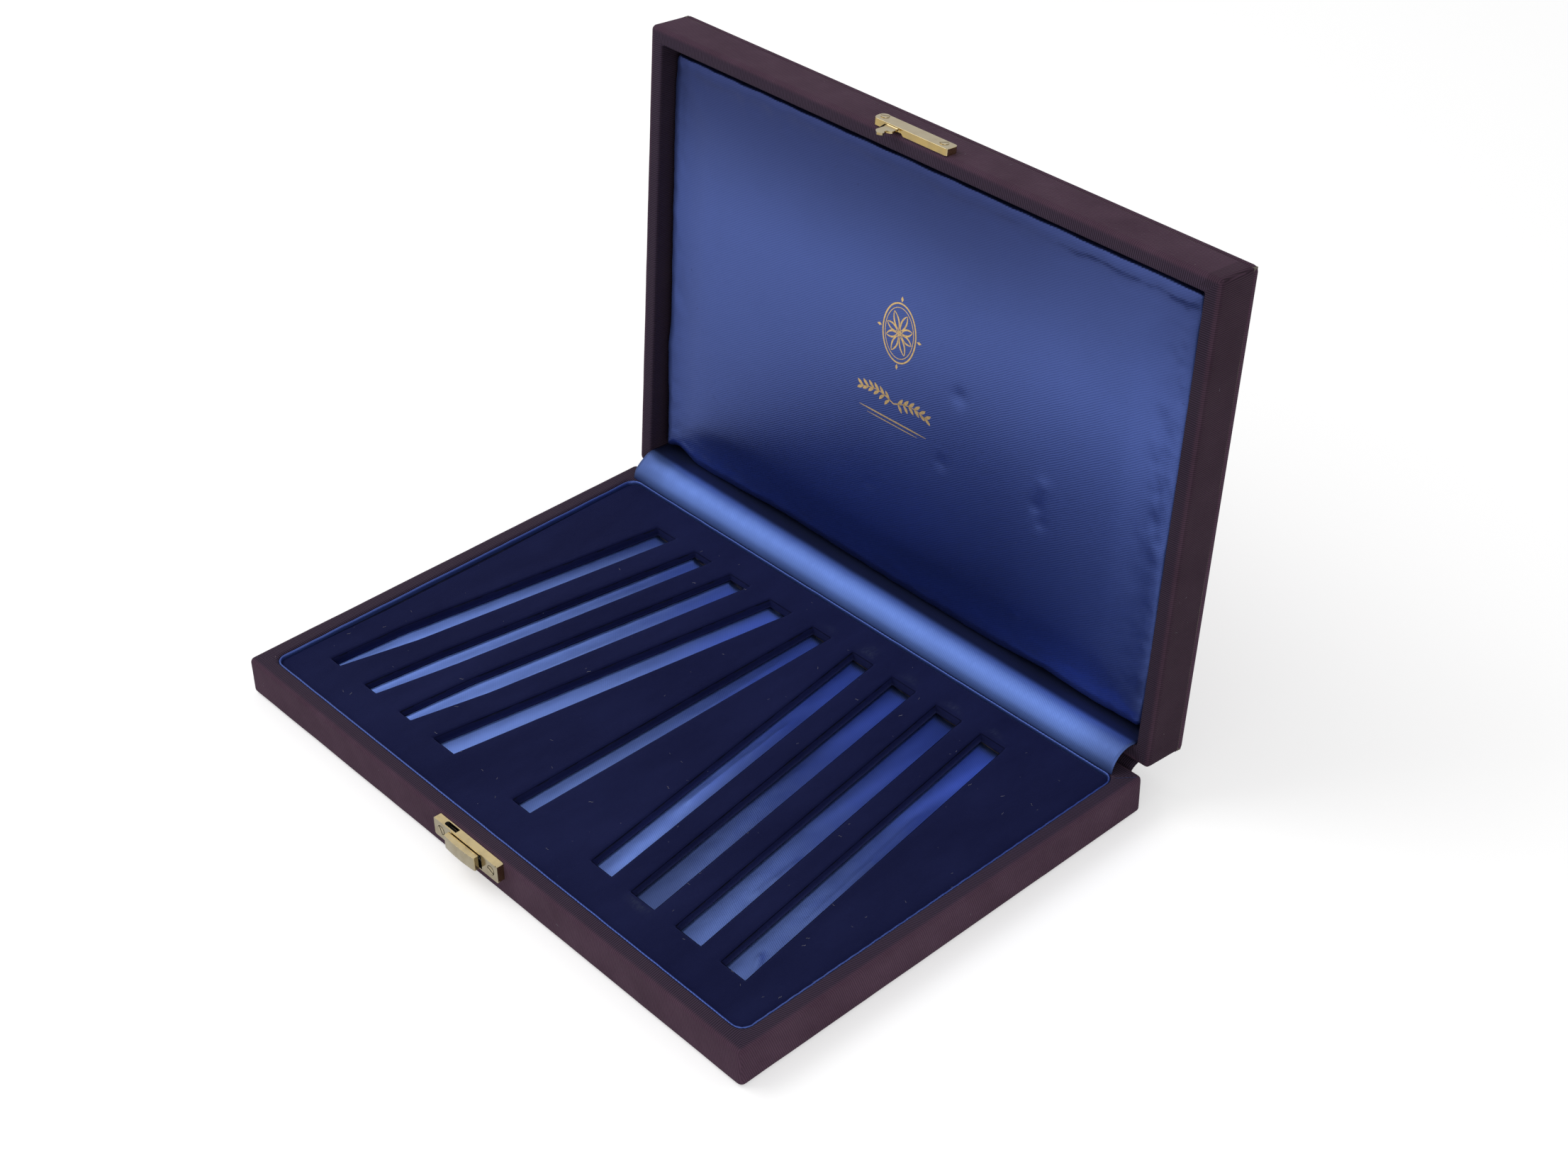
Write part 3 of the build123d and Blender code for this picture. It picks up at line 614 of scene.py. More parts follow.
def frameSweep(halfX, halfY, profile, step, slants, arcSteps=6, closed=True, ripple=None, rimAt=None):
    # the profile swept round a rectangle; returns points, faces and the run of the cloth at each corner
    # the run is zero where the rim begins, and far below zero where there is no rim
    columns = len(profile)
    run = [0.0]
    loop = profile + [profile[0]]
    for (d0, z0, _), (d1, z1, _) in zip(loop, loop[1:]):
        run.append(run[-1] + math.hypot(d1 - d0, z1 - z0))
    start = farRun if rimAt is None else run[rimAt]
    run = [value - start for value in run]
    signs = [(1, -1), (1, 1), (-1, 1), (-1, -1)]
    stations = []
    for index in range(4):
        stations += [("arc", index, k / arcSteps) for k in range(arcSteps + 1)]
        count = max(int(2 * (halfX if index % 2 else halfY) / step), 2)
        stations += [("run", index, k / count) for k in range(1, count)]

    def spot(kind, index, share, d, r):
        sx, sy = signs[index]
        if kind == "arc":
            angle = math.atan2(sy, sx) - math.pi / 4 + share * math.pi / 2
            return (sx * (halfX - d - r) + r * math.cos(angle), sy * (halfY - d - r) + r * math.sin(angle))
        a = spot("arc", index, 1.0, d, r)
        b = spot("arc", (index + 1) % 4, 0.0, d, r)
        return a[0] + (b[0] - a[0]) * share, a[1] + (b[1] - a[1]) * share

    points, sides = [], []
    for kind, index, share in stations:
        for d, z, r in profile:
            x, y = spot(kind, index, share, d, r)
            if ripple:
                x, y, z = ripple(x, y, z, d)
            points.append((x, y, z))
        sides.append((index + 1) % 4 if kind == "run" or share >= 0.5 - 1e-6 else index)
    faces, corners = [], []
    for i, side in enumerate(sides):
        row, nextRow = i * columns, (i + 1) % len(sides) * columns
        for j in range(columns if closed else columns - 1):
            k = (j + 1) % columns
            face = (row + j, nextRow + j, nextRow + k, row + k)
            faces.append(face)
            pairs = []
            for vertex, v in zip(face, (run[j], run[j], run[j + 1], run[j + 1])):
                u = points[vertex][side % 2] + side * sideRun
                pairs.append((u + v * slants[side], v))
            corners.append(pairs)
    return points, faces, corners


def capEnds(points, faces, corners, start, columns, firstTurned, shift):
    # flat faces over the first and the last line of a swept ring of points
    rows = (len(points) - start) // columns
    for column, turned in ((0, firstTurned), (columns - 1, not firstTurned)):
        cap = [start + i * columns + column for i in range(rows)]
        cap = cap[::-1] if turned else cap
        faces.append(tuple(cap))
        corners.append([(points[k][0], points[k][1] - shift) for k in cap])


# side 0 is the front, 1 the right, 2 the back, 3 the left
baseCloth = {"thickness": 0.42, "cornerRadius": 2.4, "outerRound": 1.9, "innerRound": 1.3, "low": 0.3,
             "inside": 9.2, "innerCorner": 5.7, "slants": (0.12, 0.34, 0.10, -0.30), "step": 5.0}


def mitreCorner(radius, innerRadius):
    def corner(inset):
        if inset < radius:
            return radius - inset
        return innerRadius * ease(4.6, box["wall"], inset)
    return corner


def clothRipple(seed):
    # pulled cloth is never quite even
    def ripple(x, y, z, d):
        lift = 0.10 * wobble(x + seed, y, z, 0.045) + 0.05 * wobble(x, y + seed, z, 0.16)
        nearX = abs(abs(x) - (halfWidth - d)) < 0.6
        nearY = abs(abs(y) - (halfDepth - d)) < 0.6
        if d < 2.0:
            if nearX:
                x += math.copysign(lift - 0.08, x)
            if nearY:
                y += math.copysign(lift - 0.08, y)
        return x, y, z + (0.5 * lift if d > 1.0 else 0.0)
    return ripple


def baseCoverCloth():
    corner = mitreCorner(baseCloth["cornerRadius"], baseCloth["innerCorner"])
    top, low = box["baseHeight"], baseCloth["low"]
    outer, inner = baseCloth["outerRound"], baseCloth["innerRound"]
    line = [(3.8, low, corner(3.8)), (2.6, low, corner(2.6))]
    line += roundedTurn(1.8, low + 1.8, 1.8, 270, 180, 6, corner)
    line += [(0.0, z, corner(0.0)) for z in (5.0, 8.0, 11.0, 14.0)]
    line += roundedTurn(outer, top - outer, outer, 180, 90, 8, corner)
    rimAt = len(line) - 2
    line += [(d, top, corner(d)) for d in (2.9, 4.0, 5.2)]
    line += roundedTurn(box["wall"] - inner, top - inner, inner, 90, 0, 6, corner)
    line += [(box["wall"], z, corner(box["wall"])) for z in (13.5, baseCloth["inside"])]
    profile = ringProfile(line, baseCloth["thickness"])
    points, faces, corners = frameSweep(halfWidth, halfDepth, profile, baseCloth["step"], baseCloth["slants"],
                                        ripple=clothRipple(11.0), rimAt=rimAt)
    piece = makePiece("base_cloth", points, faces, coverClothMat, corners)
    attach(piece, "base")
    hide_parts("base_cover_cloth")
    return piece


lidCloth = {"thickness": 0.42, "cornerRadius": 2.4, "outerRound": 1.9, "innerRound": 1.3, "inside": 35.6,
            "slants": (0.10, -0.06, 0.10, 0.06), "step": 5.0}


def shadedSideFaces(piece, way, amount, nearby):
    # marks the faces that look one way, and in part the faces next to them, for painted shade
    mask = piece.data.attributes.new("soiledAndShaded", "FLOAT", "FACE")
    edge = max(vertex.co.x for vertex in piece.data.vertices) - 9 * mm
    for polygon, value in zip(piece.data.polygons, mask.data):
        value.value = amount if polygon.normal.dot(Vector(way)) > 0.7 else 0.0
        if polygon.center.x > edge and value.value == 0.0:
            value.value = nearby * ease(edge, edge + 2 * mm, polygon.center.x)


def lidCoverCloth():
    corner = mitreCorner(lidCloth["cornerRadius"], 1.0)
    low, high = box["lidLow"], box["seamLow"]
    outer, inner = lidCloth["outerRound"], lidCloth["innerRound"]
    line = [(box["wall"], lidCloth["inside"], corner(box["wall"])), (box["wall"], 28.0, corner(box["wall"]))]
    line += roundedTurn(box["wall"] - inner, low + inner, inner, 0, -90, 6, corner)
    line += [(d, low, corner(d)) for d in (5.2, 4.0, 2.9)]
    line += roundedTurn(outer, low + outer, outer, 270, 180, 8, corner)
    line += [(0.0, z, corner(0.0)) for z in (23.0, 26.0, 29.0, 32.5)]
    line += [(d, high - drop, r) for d, drop, r in ((0.0, 0.75, 2.3), (0.05, 0.42, 1.9), (0.18, 0.16, 1.4),
                                                    (0.33, 0.0, 1.0), (0.39, -0.2, 0.9), (0.40, -0.42, 0.9))]
    line = line[::-1]
    rimAt = min(k for k, spot in enumerate(line) if spot[0] >= 1.8 and spot[1] <= low + 0.05)
    profile = ringProfile(line, -lidCloth["thickness"])
    points, faces, corners = frameSweep(halfWidth, halfDepth, profile, lidCloth["step"], lidCloth["slants"],
                                        ripple=clothRipple(47.0), rimAt=rimAt)
    piece = makePiece("lid_cloth", points, faces, coverClothMat, corners, lid=True, flip=True)
    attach(piece, "lid")
    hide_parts("lid_cover_cloth")
    return piece


boardCloth = {"edgeRound": 1.1, "cornerRadius": 2.6, "thickness": 0.4, "step": 6.0}


def lidBoardCloth():
    # cover board of the lid in its own cloth, hollow where the board is
    corner = mitreCorner(boardCloth["cornerRadius"], 0.0)
    low, high, turn = box["boardLow"], box["lidHigh"], boardCloth["edgeRound"]
    points, faces, corners = [], [], []
    for shrink, inward in ((0.0, False), (boardCloth["thickness"], True)):
        r = turn - shrink * 0.6
        line = [(40.0, low + shrink, 0.0), (6.0, low + shrink, 0.0)]
        line += roundedTurn(shrink + r, low + shrink + r, r, 270, 180, 5, corner)
        line += roundedTurn(shrink + r, high - shrink - r, r, 180, 90, 5, corner)
        line += [(6.0, high - shrink, 0.0), (14.0, high - shrink, 0.0), (40.0, high - shrink, 0.0)]
        ringPoints, ringFaces, ringCorners = frameSweep(halfWidth, halfDepth, line, boardCloth["step"],
                                                        (0.0, 0.0, 0.0, 0.0), closed=False)
        start = len(points)
        points += ringPoints
        for face, pairs in zip(ringFaces, ringCorners):
            faces.append(tuple(start + k for k in (face[::-1] if inward else face)))
            if all(ringPoints[k][2] > high - shrink - 0.05 for k in face):
                pairs = [(ringPoints[k][0], ringPoints[k][1] - farRun) for k in face]
            corners.append(pairs[::-1] if inward else pairs)
        capEnds(points, faces, corners, start, len(line), not inward, farRun)
    piece = makePiece("lid_board_cover", points, faces, coverClothMat, corners, lid=True, merge=0.0005)
    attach(piece, "lid")
    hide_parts("lid_board_cloth")
    return piece


def baseSole():
    # cloth-covered card under the box
    line = [(30.0, 0.0, 0.0), (2.0, 0.0, 1.0)]
    line += roundedTurn(0.35, 0.35, 0.35, 270, 180, 3, lambda inset: 1.5)
    line += roundedTurn(0.35, 0.40, 0.35, 180, 90, 3, lambda inset: 1.5)
    line += [(2.0, 0.75, 1.0), (30.0, 0.75, 0.0)]
    inset = 4.0
    points, faces, corners = frameSweep(halfWidth - inset, halfDepth - inset, line, 8.0, (0, 0, 0, 0),
                                        closed=False)
    capEnds(points, faces, corners, 0, len(line), True, 0.0)
    piece = makePiece("sole_cloth", points, faces, coverClothMat, corners, merge=0.0005)
    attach(piece, "base")
    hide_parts("base_sole")
    return piece


baseClothPiece = baseCoverCloth()
lidClothPiece = lidCoverCloth()
# painted shade on the right side of the lid's cloth
shadedSideFaces(lidClothPiece, (1, 0, 0), 1.0, 0.5)
lidBoardCloth()
baseSole()
print("cover cloth laid")


# Tray: velvet panel, satin floors of the slots, satin edging

tray = {"top": 16.0, "thickness": 0.8, "slotFloor": 10.6, "linerThickness": 0.8, "edging": 1.2,
        "cornerRadius": 4.5, "roll": 1.3, "lap": 4.5, "shortLap": 3.4, "gridStep": 3.2}
trayX = innerX - tray["edging"]
trayY = innerY - tray["edging"]
slots = {"front": -trayY + 18.8, "rear": trayY - 16.3,
         "widths": (12.6, 11.4, 12.9, 14.0, 11.2, 12.5, 14.0, 14.7, 13.5),
         "shifts": (0.3, -0.2, -1.1, -0.2, 0.0, 0.0, -1.1, -0.4, -0.9),
         "tips": (6.4, 8.2, 7.6), "tipLength": 36.0, "middle": -3.2,
         "leftMargin": 16.7, "rightMargin": 25.1, "leftSplay": 26.0, "rightSplay": 25.0}


def slotEnds(index):
    step = index - 4
    centre = slots["middle"] + slots["shifts"][index]
    if step == 0:
        return centre, centre
    if step < 0:
        pitch = (trayX + slots["middle"] - slots["leftMargin"] - slots["leftSplay"]) / 4
        return centre + step * pitch, centre + step * pitch - slots["leftSplay"]
    pitch = (trayX - slots["middle"] - slots["rightMargin"] - slots["rightSplay"]) / 4
    return centre + step * pitch, centre + step * pitch + slots["rightSplay"]


def slotEdges(index, y):
    # left and right edge of a slot at a depth in the tray
    rear, front = slotEnds(index)
    length = slots["rear"] - slots["front"]
    half = slots["widths"][index] / 2
    centre = rear + (front - rear) * (slots["rear"] - y) / length
    if index < 3 and y < slots["front"] + slots["tipLength"]:
        start = front + (rear - front) * slots["tipLength"] / length
        share = (y - slots["front"]) / slots["tipLength"]
        tip = slots["tips"][index] / 2
        return (front - tip + share * (start - half - front + tip),
                front + tip + share * (start + half - front - tip))
    return centre - half, centre + half


def slotLoop(index, grow, count=34):
    # outline of a slot, left side towards the front, across, and back; grow widens it
    low, high = slots["front"] - grow, slots["rear"] + grow
    loop = []
    tight = 0.45 + grow * 0.6    # radius of the slot's corners
    ys = [low + tight * (1 - math.cos(math.pi / 2 * k / 3)) for k in range(3)]
    ys += [low + tight + (high - low - 2 * tight) * k / count for k in range(count + 1)]
    ys += [high - tight * (1 - math.cos(math.pi / 2 * k / 3)) for k in (2, 1, 0)]

    def inset(y):
        q = min(y - low, high - y)
        if q >= tight:
            return 0.0
        return tight * (1 - math.sqrt(max(0.0, 1 - (1 - q / tight) ** 2)))

    def uneven(y, side):
        return 0.14 * wobble(index * 9.0 + side * 4.0, y, 0.0, 0.22) + 0.07 * wobble(index, y, side, 0.9)

    for y in reversed(ys):
        left = slotEdges(index, min(max(y, slots["front"]), slots["rear"]))[0]
        loop.append((left - grow + inset(y) - uneven(y, 0), y))
    for y in ys:
        right = slotEdges(index, min(max(y, slots["front"]), slots["rear"]))[1]
        loop.append((right + grow - inset(y) + uneven(y, 1), y))
    return loop


def insideLoop(x, y, loop):
    inside = False
    for (x0, y0), (x1, y1) in zip(loop, loop[1:] + loop[:1]):
        if (y0 > y) != (y1 > y) and x < (x1 - x0) * (y - y0) / (y1 - y0) + x0:
            inside = not inside
    return inside


def trayLoop(inset):
    # rounded rectangle of the tray
    loop = []
    middleX, middleY = trayX - tray["cornerRadius"], trayY - tray["cornerRadius"]
    r = tray["cornerRadius"] - inset
    turns = ((1, 1, 0), (-1, 1, 90), (-1, -1, 180), (1, -1, 270))

    def onArc(sx, sy, angle):
        a = math.radians(angle)
        return sx * middleX + r * math.cos(a), sy * middleY + r * math.sin(a)

    for index, (sx, sy, start) in enumerate(turns):
        loop += [onArc(sx, sy, start + 90 * k / 8) for k in range(9)]
        ax, ay = loop[-1]
        bx, by = onArc(*turns[(index + 1) % 4])
        count = int(math.hypot(bx - ax, by - ay) / 4.0)
        loop += [(ax + (bx - ax) * k / count, ay + (by - ay) * k / count) for k in range(1, count)]
    return loop


def drawnBack(x, y):
    # the velvet card is a little narrow, so the satin edging shows down the left side
    gap = 1.25 * ease(-97, -35, y) * (1 - ease(10, 96, y)) * (1 - ease(-150, -140, x))
    return x + gap, y


def velvetHeight(x, y):
    rest = tray["top"] + 0.10 * wobble(x, y, 3.0, 0.03) + 0.05 * wobble(x, y, 8.0, 0.12)
    left = (1 - ease(-150.5, -141, x)) * ease(-97, -30, y) * (1 - ease(20, 96, y))
    return rest - 0.12 - 0.35 * left


# rubbed places on the velvet: middle and half sizes
velvetScuffs = ((22.0, 87.5, 3.2, 4.5), (47.5, 86.0, 3.0, 3.4), (73.5, 86.5, 3.0, 2.4),
                (98.0, 86.5, 2.6, 2.2), (-2.0, 86.4, 2.6, 2.0), (74.0, -85.0, 5.0, 1.8))


def turnedEdge(index):
    # how far outside the slot's edge each ring of the velvet lies, and how far down
    roll = tray["roll"]
    lap = tray["shortLap"] if index in (1, 2) else tray["lap"]
    return ((roll, 0.0), (roll * 0.68, 0.09), (roll * 0.38, 0.34), (roll * 0.14, 0.78), (-0.12, 1.45),
            (-0.26, 2.3), (-0.28, lap), (-0.03, lap), (0.0, None))


def velvetSheet(outline, holes):
    # flat triangles between the outline and the holes; returns the spots, the triangles and the spot of
    # each ring point
    flat, edges = [], []
    for loop in [outline] + holes:
        start, count = len(flat), len(loop)
        flat.extend(Vector(p) for p in loop)
        edges.extend((start + k, start + (k + 1) % count) for k in range(count))
    grown = [slotLoop(index, tray["roll"] + 1.2, 12) for index in range(9)]
    margin = trayLoop(2.2)
    step = tray["gridStep"]
    rng = random.Random(5)
    for i in range(int(2 * trayX / step) + 1):
        for j in range(int(2 * trayY / step) + 1):
            x = -trayX + (i + 0.5 * (j % 2)) * step + rng.uniform(-0.3, 0.3)
            y = -trayY + j * step + rng.uniform(-0.3, 0.3)
            if insideLoop(x, y, margin) and not any(insideLoop(x, y, loop) for loop in grown):
                flat.append(Vector((x, y)))
    spots, _, triangles, origin = delaunay_2d_cdt(flat, edges, [], 0, 1e-5)[:4]
    newIndex = {old: new for new, olds in enumerate(origin) for old in olds}
    kept = []
    for triangle in triangles:
        x = sum(spots[k][0] for k in triangle) / 3
        y = sum(spots[k][1] for k in triangle) / 3
        if insideLoop(x, y, outline) and not any(insideLoop(x, y, hole) for hole in holes):
            kept.append(tuple(triangle))
    return spots, kept, newIndex


def velvetPanel():
    # one sheet of velvet over card, with nine openings whose edges roll down
    outer = [([drawnBack(x, y) for x, y in trayLoop(inset)], drop)
             for inset, drop in ((0.9, 0.0), (0.45, 0.08), (0.12, 0.32), (0.05, None))]
    turned = [[(slotLoop(index, grow), drop) for grow, drop in turnedEdge(index)] for index in range(9)]
    spots, kept, newIndex = velvetSheet(outer[0][0], [rings[0][0] for rings in turned])
    bottom = tray["top"] - tray["thickness"]
    under = len(spots)
    points = [(x, y, velvetHeight(x, y)) for x, y in spots] + [(x, y, bottom) for x, y in spots]
    faces = kept + [tuple(under + k for k in reversed(triangle)) for triangle in kept]
    first = 0
    for rings in [outer] + turned:
        # rings of points from the top of the sheet down to its underside
        count = len(rings[0][0])
        levels = [[newIndex[first + k] for k in range(count)]]
        for ring, drop in rings[1:]:
            levels.append([len(points) + k for k in range(count)])
            points += [(x, y, bottom if drop is None else velvetHeight(x, y) - drop) for x, y in ring]
        levels.append([under + k for k in levels[0]])
        for upper, lower in zip(levels, levels[1:]):
            for k in range(count):
                n = (k + 1) % count
                faces.append((lower[k], lower[n], upper[n], upper[k]))
        first += count
    piece = makePiece("tray_velvet", points, faces, velvetMat, merge=0.0)
    work = bmesh.new()
    work.from_mesh(piece.data)
    bmesh.ops.delete(work, geom=[v for v in work.verts if not v.link_faces], context="VERTS")
    bmesh.ops.recalc_face_normals(work, faces=work.faces)
    work.to_mesh(piece.data)
    work.free()
    scuff = piece.data.attributes.new("scuff", "FLOAT", "POINT")
    for vertex, value in zip(piece.data.vertices, scuff.data):
        x, y = vertex.co.x / mm, vertex.co.y / mm
        value.value = max(math.exp(-((x - cx) / rx) ** 2 - ((y - cy) / ry) ** 2)
                          for cx, cy, rx, ry in velvetScuffs)
    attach(piece, "base")
    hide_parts("tray_velvet_panel")
    return piece


velvetPiece = velvetPanel()
print("velvet panel", len(velvetPiece.data.polygons), "faces")

# how much painted shade the satin of each slot has at its front and its rear end
slotPaintedShade = ((0.0, 0.45), (0.05, 0.40), (0.04, 0.38), (0.14, 0.24), (0.42, 0.52), (0.46, 0.52), (0.76, 0.62),
            (0.62, 0.62), (0.66, 0.48))
# streaks of painted highlight and painted shade along the folds: slot, y and share of the width at both ends,
# reach, amount
slotShine = ((5, -74.0, 0.6, -5.0, 0.15, 0.34, -0.34), (5, -5.0, 0.15, 52.0, 0.05, 0.22, -0.22),
             (5, -35.0, 1.0, 45.0, 0.65, 0.28, 0.18), (6, 36.0, 0.2, 84.0, 0.75, 0.30, -0.16),
             (6, -62.0, 0.8, -2.0, 0.3, 0.25, -0.10), (7, -82.0, 0.75, -18.0, 0.3, 0.25, -0.14),
             (7, -4.0, 0.2, 62.0, 0.85, 0.20, -0.14), (7, 22.0, 1.0, 82.0, 0.6, 0.28, 0.08),
             (8, 22.0, 0.1, 82.0, 0.9, 0.24, -0.22), (8, -14.0, 0.95, 46.0, 0.65, 0.32, 0.16),
             (8, -82.0, 0.5, -26.0, 0.3, 0.32, -0.10), (2, -70.0, 0.2, 20.0, 0.7, 0.25, 0.10),
             (3, -60.0, 0.8, 30.0, 0.3, 0.25, 0.10), (1, -50.0, 0.2, 40.0, 0.8, 0.25, 0.08))
# folds of the satin floors: slot, x and y of the start, x and y of the end, height, width of the fold
slotFolds = ((5, 30.0, 35.0, 38.0, -30.0, 0.45, 3.0), (7, 95.0, -20.0, 97.0, -46.0, 0.5, 2.2),
             (8, 110.0, 30.0, 122.0, -40.0, 0.5, 2.6), (8, 123.0, -66.0, 131.0, -78.0, 0.6, 2.4),
             (2, -66.0, 20.0, -74.0, -40.0, 0.25, 3.0), (4, -4.0, 60.0, -1.5, 10.0, 0.22, 2.6),
             (1, -104.0, 40.0, -107.0, -10.0, 0.2, 2.6), (6, 55.0, 20.0, 60.0, -50.0, 0.25, 2.8))


def linerHeight(index, x, y, share):
    high = tray["slotFloor"] - 0.02
    # the satin climbs the walls
    high += (1.3 if index in (1, 2) else 0.5) * (2 * share - 1) ** 4
    high += 0.10 * wobble(x, y * 0.35, index * 5.0, 0.30) + 0.05 * wobble(x, y, index, 0.8)
    for slot, x0, y0, x1, y1, lift, reach in slotFolds:
        if slot != index:
            continue
        dx, dy = x1 - x0, y1 - y0
        size = math.hypot(dx, dy)
        t = ((x - x0) * dx + (y - y0) * dy) / (size * size)
        off = ((x - x0) * dy - (y - y0) * dx) / size
        fade = ease(-0.15, 0.1, t) * (1 - ease(0.9, 1.15, t))
        high += 1.5 * lift * fade * math.exp(-(off / reach * 1.6) ** 2) * (1.0 if off > 0 else 0.55)
    return high


def linerPaintedLight(index, x, y):
    # painted shade and painted highlights on the satin of a slot
    left, right = slotEdges(index, y)
    share = (x - left) / (right - left)
    front, rear = slotPaintedShade[index]
    amount = front + (rear - front) * ease(slots["front"], slots["rear"], y)
    for slot, y0, s0, y1, s1, reach, change in slotShine:
        if slot == index:
            middle = s0 + (s1 - s0) * (y - y0) / (y1 - y0)
            fade = ease(y0 - 12, y0 + 8, y) * (1 - ease(y1 - 8, y1 + 12, y))
            amount += change * fade * math.exp(-((share - middle) / reach) ** 2)
    return amount


def slotLiner(index):
    # satin floor of one slot with its soft folds
    rows, columns = 84, 12
    low, high = slots["front"] + 0.15, slots["rear"] - 0.15
    points, corners = [], []
    for i in range(rows + 1):
        y = high + (low - high) * i / rows
        left, right = slotEdges(index, y)
        left, right = left + 0.12, right - 0.12
        for j in range(columns + 1):
            share = j / columns
            x = left + (right - left) * share
            points.append((x, y, linerHeight(index, x, y, share)))
    bottom = tray["slotFloor"] - tray["linerThickness"] + 0.02
    points += [(x, y, bottom) for x, y, z in points]
    faces = slabFaces(rows, columns)
    rear, front = slotEnds(index)
    lean = math.atan2(front - rear, slots["rear"] - slots["front"])
    for face in faces:
        pairs = []
        for k in face:
            x, y, z = points[k]
            pairs.append((x * math.cos(lean) + y * math.sin(lean) + index * 37.0,
                          y * math.cos(lean) - x * math.sin(lean)))
        corners.append(pairs)
    piece = makePiece("slot_satin_%d" % (index + 1), points, faces, brightSatinMat, corners)
    paintShadeOnPoints(piece, lambda x, y, z: linerPaintedLight(index, x, y))
    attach(piece, "base")
    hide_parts("slot_liner_%d" % (index + 1))
    return piece


for index in range(9):
    slotLiner(index)
print("slot floors laid")

edging = {"low": 3.9, "top": 17.5, "corner": 5.7, "step": 2.2}


def trayEdging():
    # rolled satin strip round the tray, a little ragged along its top
    corner = lambda inset: max(edging["corner"] - inset, 0.3)
    low, top, thick = edging["low"], edging["top"], tray["edging"]
    line = [(0.06, low, corner(0)), (0.06, 12.0, corner(0)), (0.06, top - 0.55, corner(0)),
            (0.16, top - 0.18, corner(0.16)), (0.38, top, corner(0.38)), (0.70, top - 0.02, corner(0.7)),
            (0.98, top - 0.20, corner(0.98)), (thick - 0.08, top - 0.55, corner(1.12)),
            (thick - 0.02, top - 1.1, corner(1.18)), (thick - 0.02, 12.0, corner(1.18)),
            (thick - 0.02, low, corner(1.18))]

    def ragged(x, y, z, d):
        if z > top - 1.3:
            lift = 0.16 * wobble(x, y, 0.0, 0.11) + 0.09 * wobble(x, y, 4.0, 0.5)
            right = ease(140, 150, x)
            twist = right * 0.14 * math.sin((y + 0.6 * (z - top)) * 2 * math.pi / 1.55)
            z += (lift - 0.10 + twist) * ease(top - 1.3, top - 0.2, z)
        return x, y, z

    points, faces, corners = frameSweep(innerX, innerY, line, edging["step"], (0.8, 0.8, 0.8, 0.8),
                                        ripple=ragged)
    piece = makePiece("tray_satin_edging", points, faces, edgingSatinMat, corners)
    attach(piece, "base")
    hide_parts("tray_edging_front", "tray_edging_back", "tray_edging_left", "tray_edging_right")
    return piece


trayEdging()
print("edging rolled")


# Strips over the hinge

def stripPoints(table, count):
    # evenly spaced points on a soft line through the (y, z) pairs of a table
    ts = [0.0]
    for (a, b), (c, d) in zip(table, table[1:]):
        ts.append(ts[-1] + math.hypot(c - a, d - b))
    ys = [(t, p[0]) for t, p in zip(ts, table)]
    zs = [(t, p[1]) for t, p in zip(ts, table)]
    return [(smoothAlong(ys, ts[-1] * k / count), smoothAlong(zs, ts[-1] * k / count), ts[-1] * k / count)
            for k in range(count + 1)], ts[-1]


def strip(name, shape, material, count, step, ends, ripple):
    line, reach = stripPoints(shape["line"], count)
    rows = int(2 * shape["halfLength"] / step)
    half = shape["thickness"] / 2
    upper, lower, runs = [], [], []
    for i in range(rows + 1):
        for k, (y, z, t) in enumerate(line):
            left, right = ends(t / reach)
            x = left + (right - left) * i / rows
            before = line[max(k - 1, 0)]
            after = line[min(k + 1, count)]
            dy, dz = after[0] - before[0], after[1] - before[1]
            size = math.hypot(dy, dz)
            ny, nz = -dz / size, dy / size
            lift = ripple(x, t / reach)
            upper.append((x, y + ny * (lift + half), z + nz * (lift + half)))
            lower.append((x, y + ny * (lift - half), z + nz * (lift - half)))
            runs.append((x, t))
    faces = slabFaces(rows, count)
    corners = [[runs[k % len(runs)] for k in face] for face in faces]
    return outwardFaces(makePiece(name, upper + lower, faces, material, corners, merge=0.0)), reach


satinStrip = {"line": ((101.25, 17.9), (101.45, 19.7), (102.6, 22.6), (105.4, 25.6), (109.0, 27.55),
                       (112.4, 28.15), (116.0, 27.85), (120.0, 27.45), (126.6, 26.85)),
              "thickness": 0.4, "halfLength": 151.0}


def satinHinge():
    def ends(share):
        left = -151.4 + 0.4 * math.sin(share * 5.0)
        right = 150.2 + 1.4 * ease(0.15, 0.6, share) + 0.25 * math.sin(share * 11.0)
        return left, right

    def ripple(x, share):
        middle = math.sin(math.pi * min(max(share / 0.75, 0.0), 1.0))
        soft = 0.35 * wobble(x, share * 6.0, 2.0, 0.035) + 0.14 * wobble(x, share * 14.0, 5.0, 0.12)
        crumple = (1 - ease(-145, -105, x)) * 0.55 * wobble(x, share * 22.0, 9.0, 0.14)
        pull = (1 - ease(-60, -20, x)) * 0.20 * wobble(x, share * 10.0, 1.0, 0.2)
        return middle * (soft + crumple + pull) - 0.05

    piece, reach = strip("hinge_satin", satinStrip, stripSatinMat, 44, 1.6, ends, ripple)
    # painted shade in the crease below the pad; the satin is also darker towards the two ends
    paintShadeOnPoints(piece, lambda x, y, z: max(0.95 * ease(111.0, 115.0, y), 0.45 * ease(118, 152, abs(x))))
    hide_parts("hinge_satin_strip")
    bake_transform(piece)
    return piece


clothStrip = {"line": ((110.80, 4.6), (110.80, 8.0), (110.85, 11.8), (112.2, 14.9), (115.0, 16.55),
                       (118.5, 17.1), (122.0, 17.2), (125.4, 17.0)), "thickness": 0.5, "halfLength": 152.0}


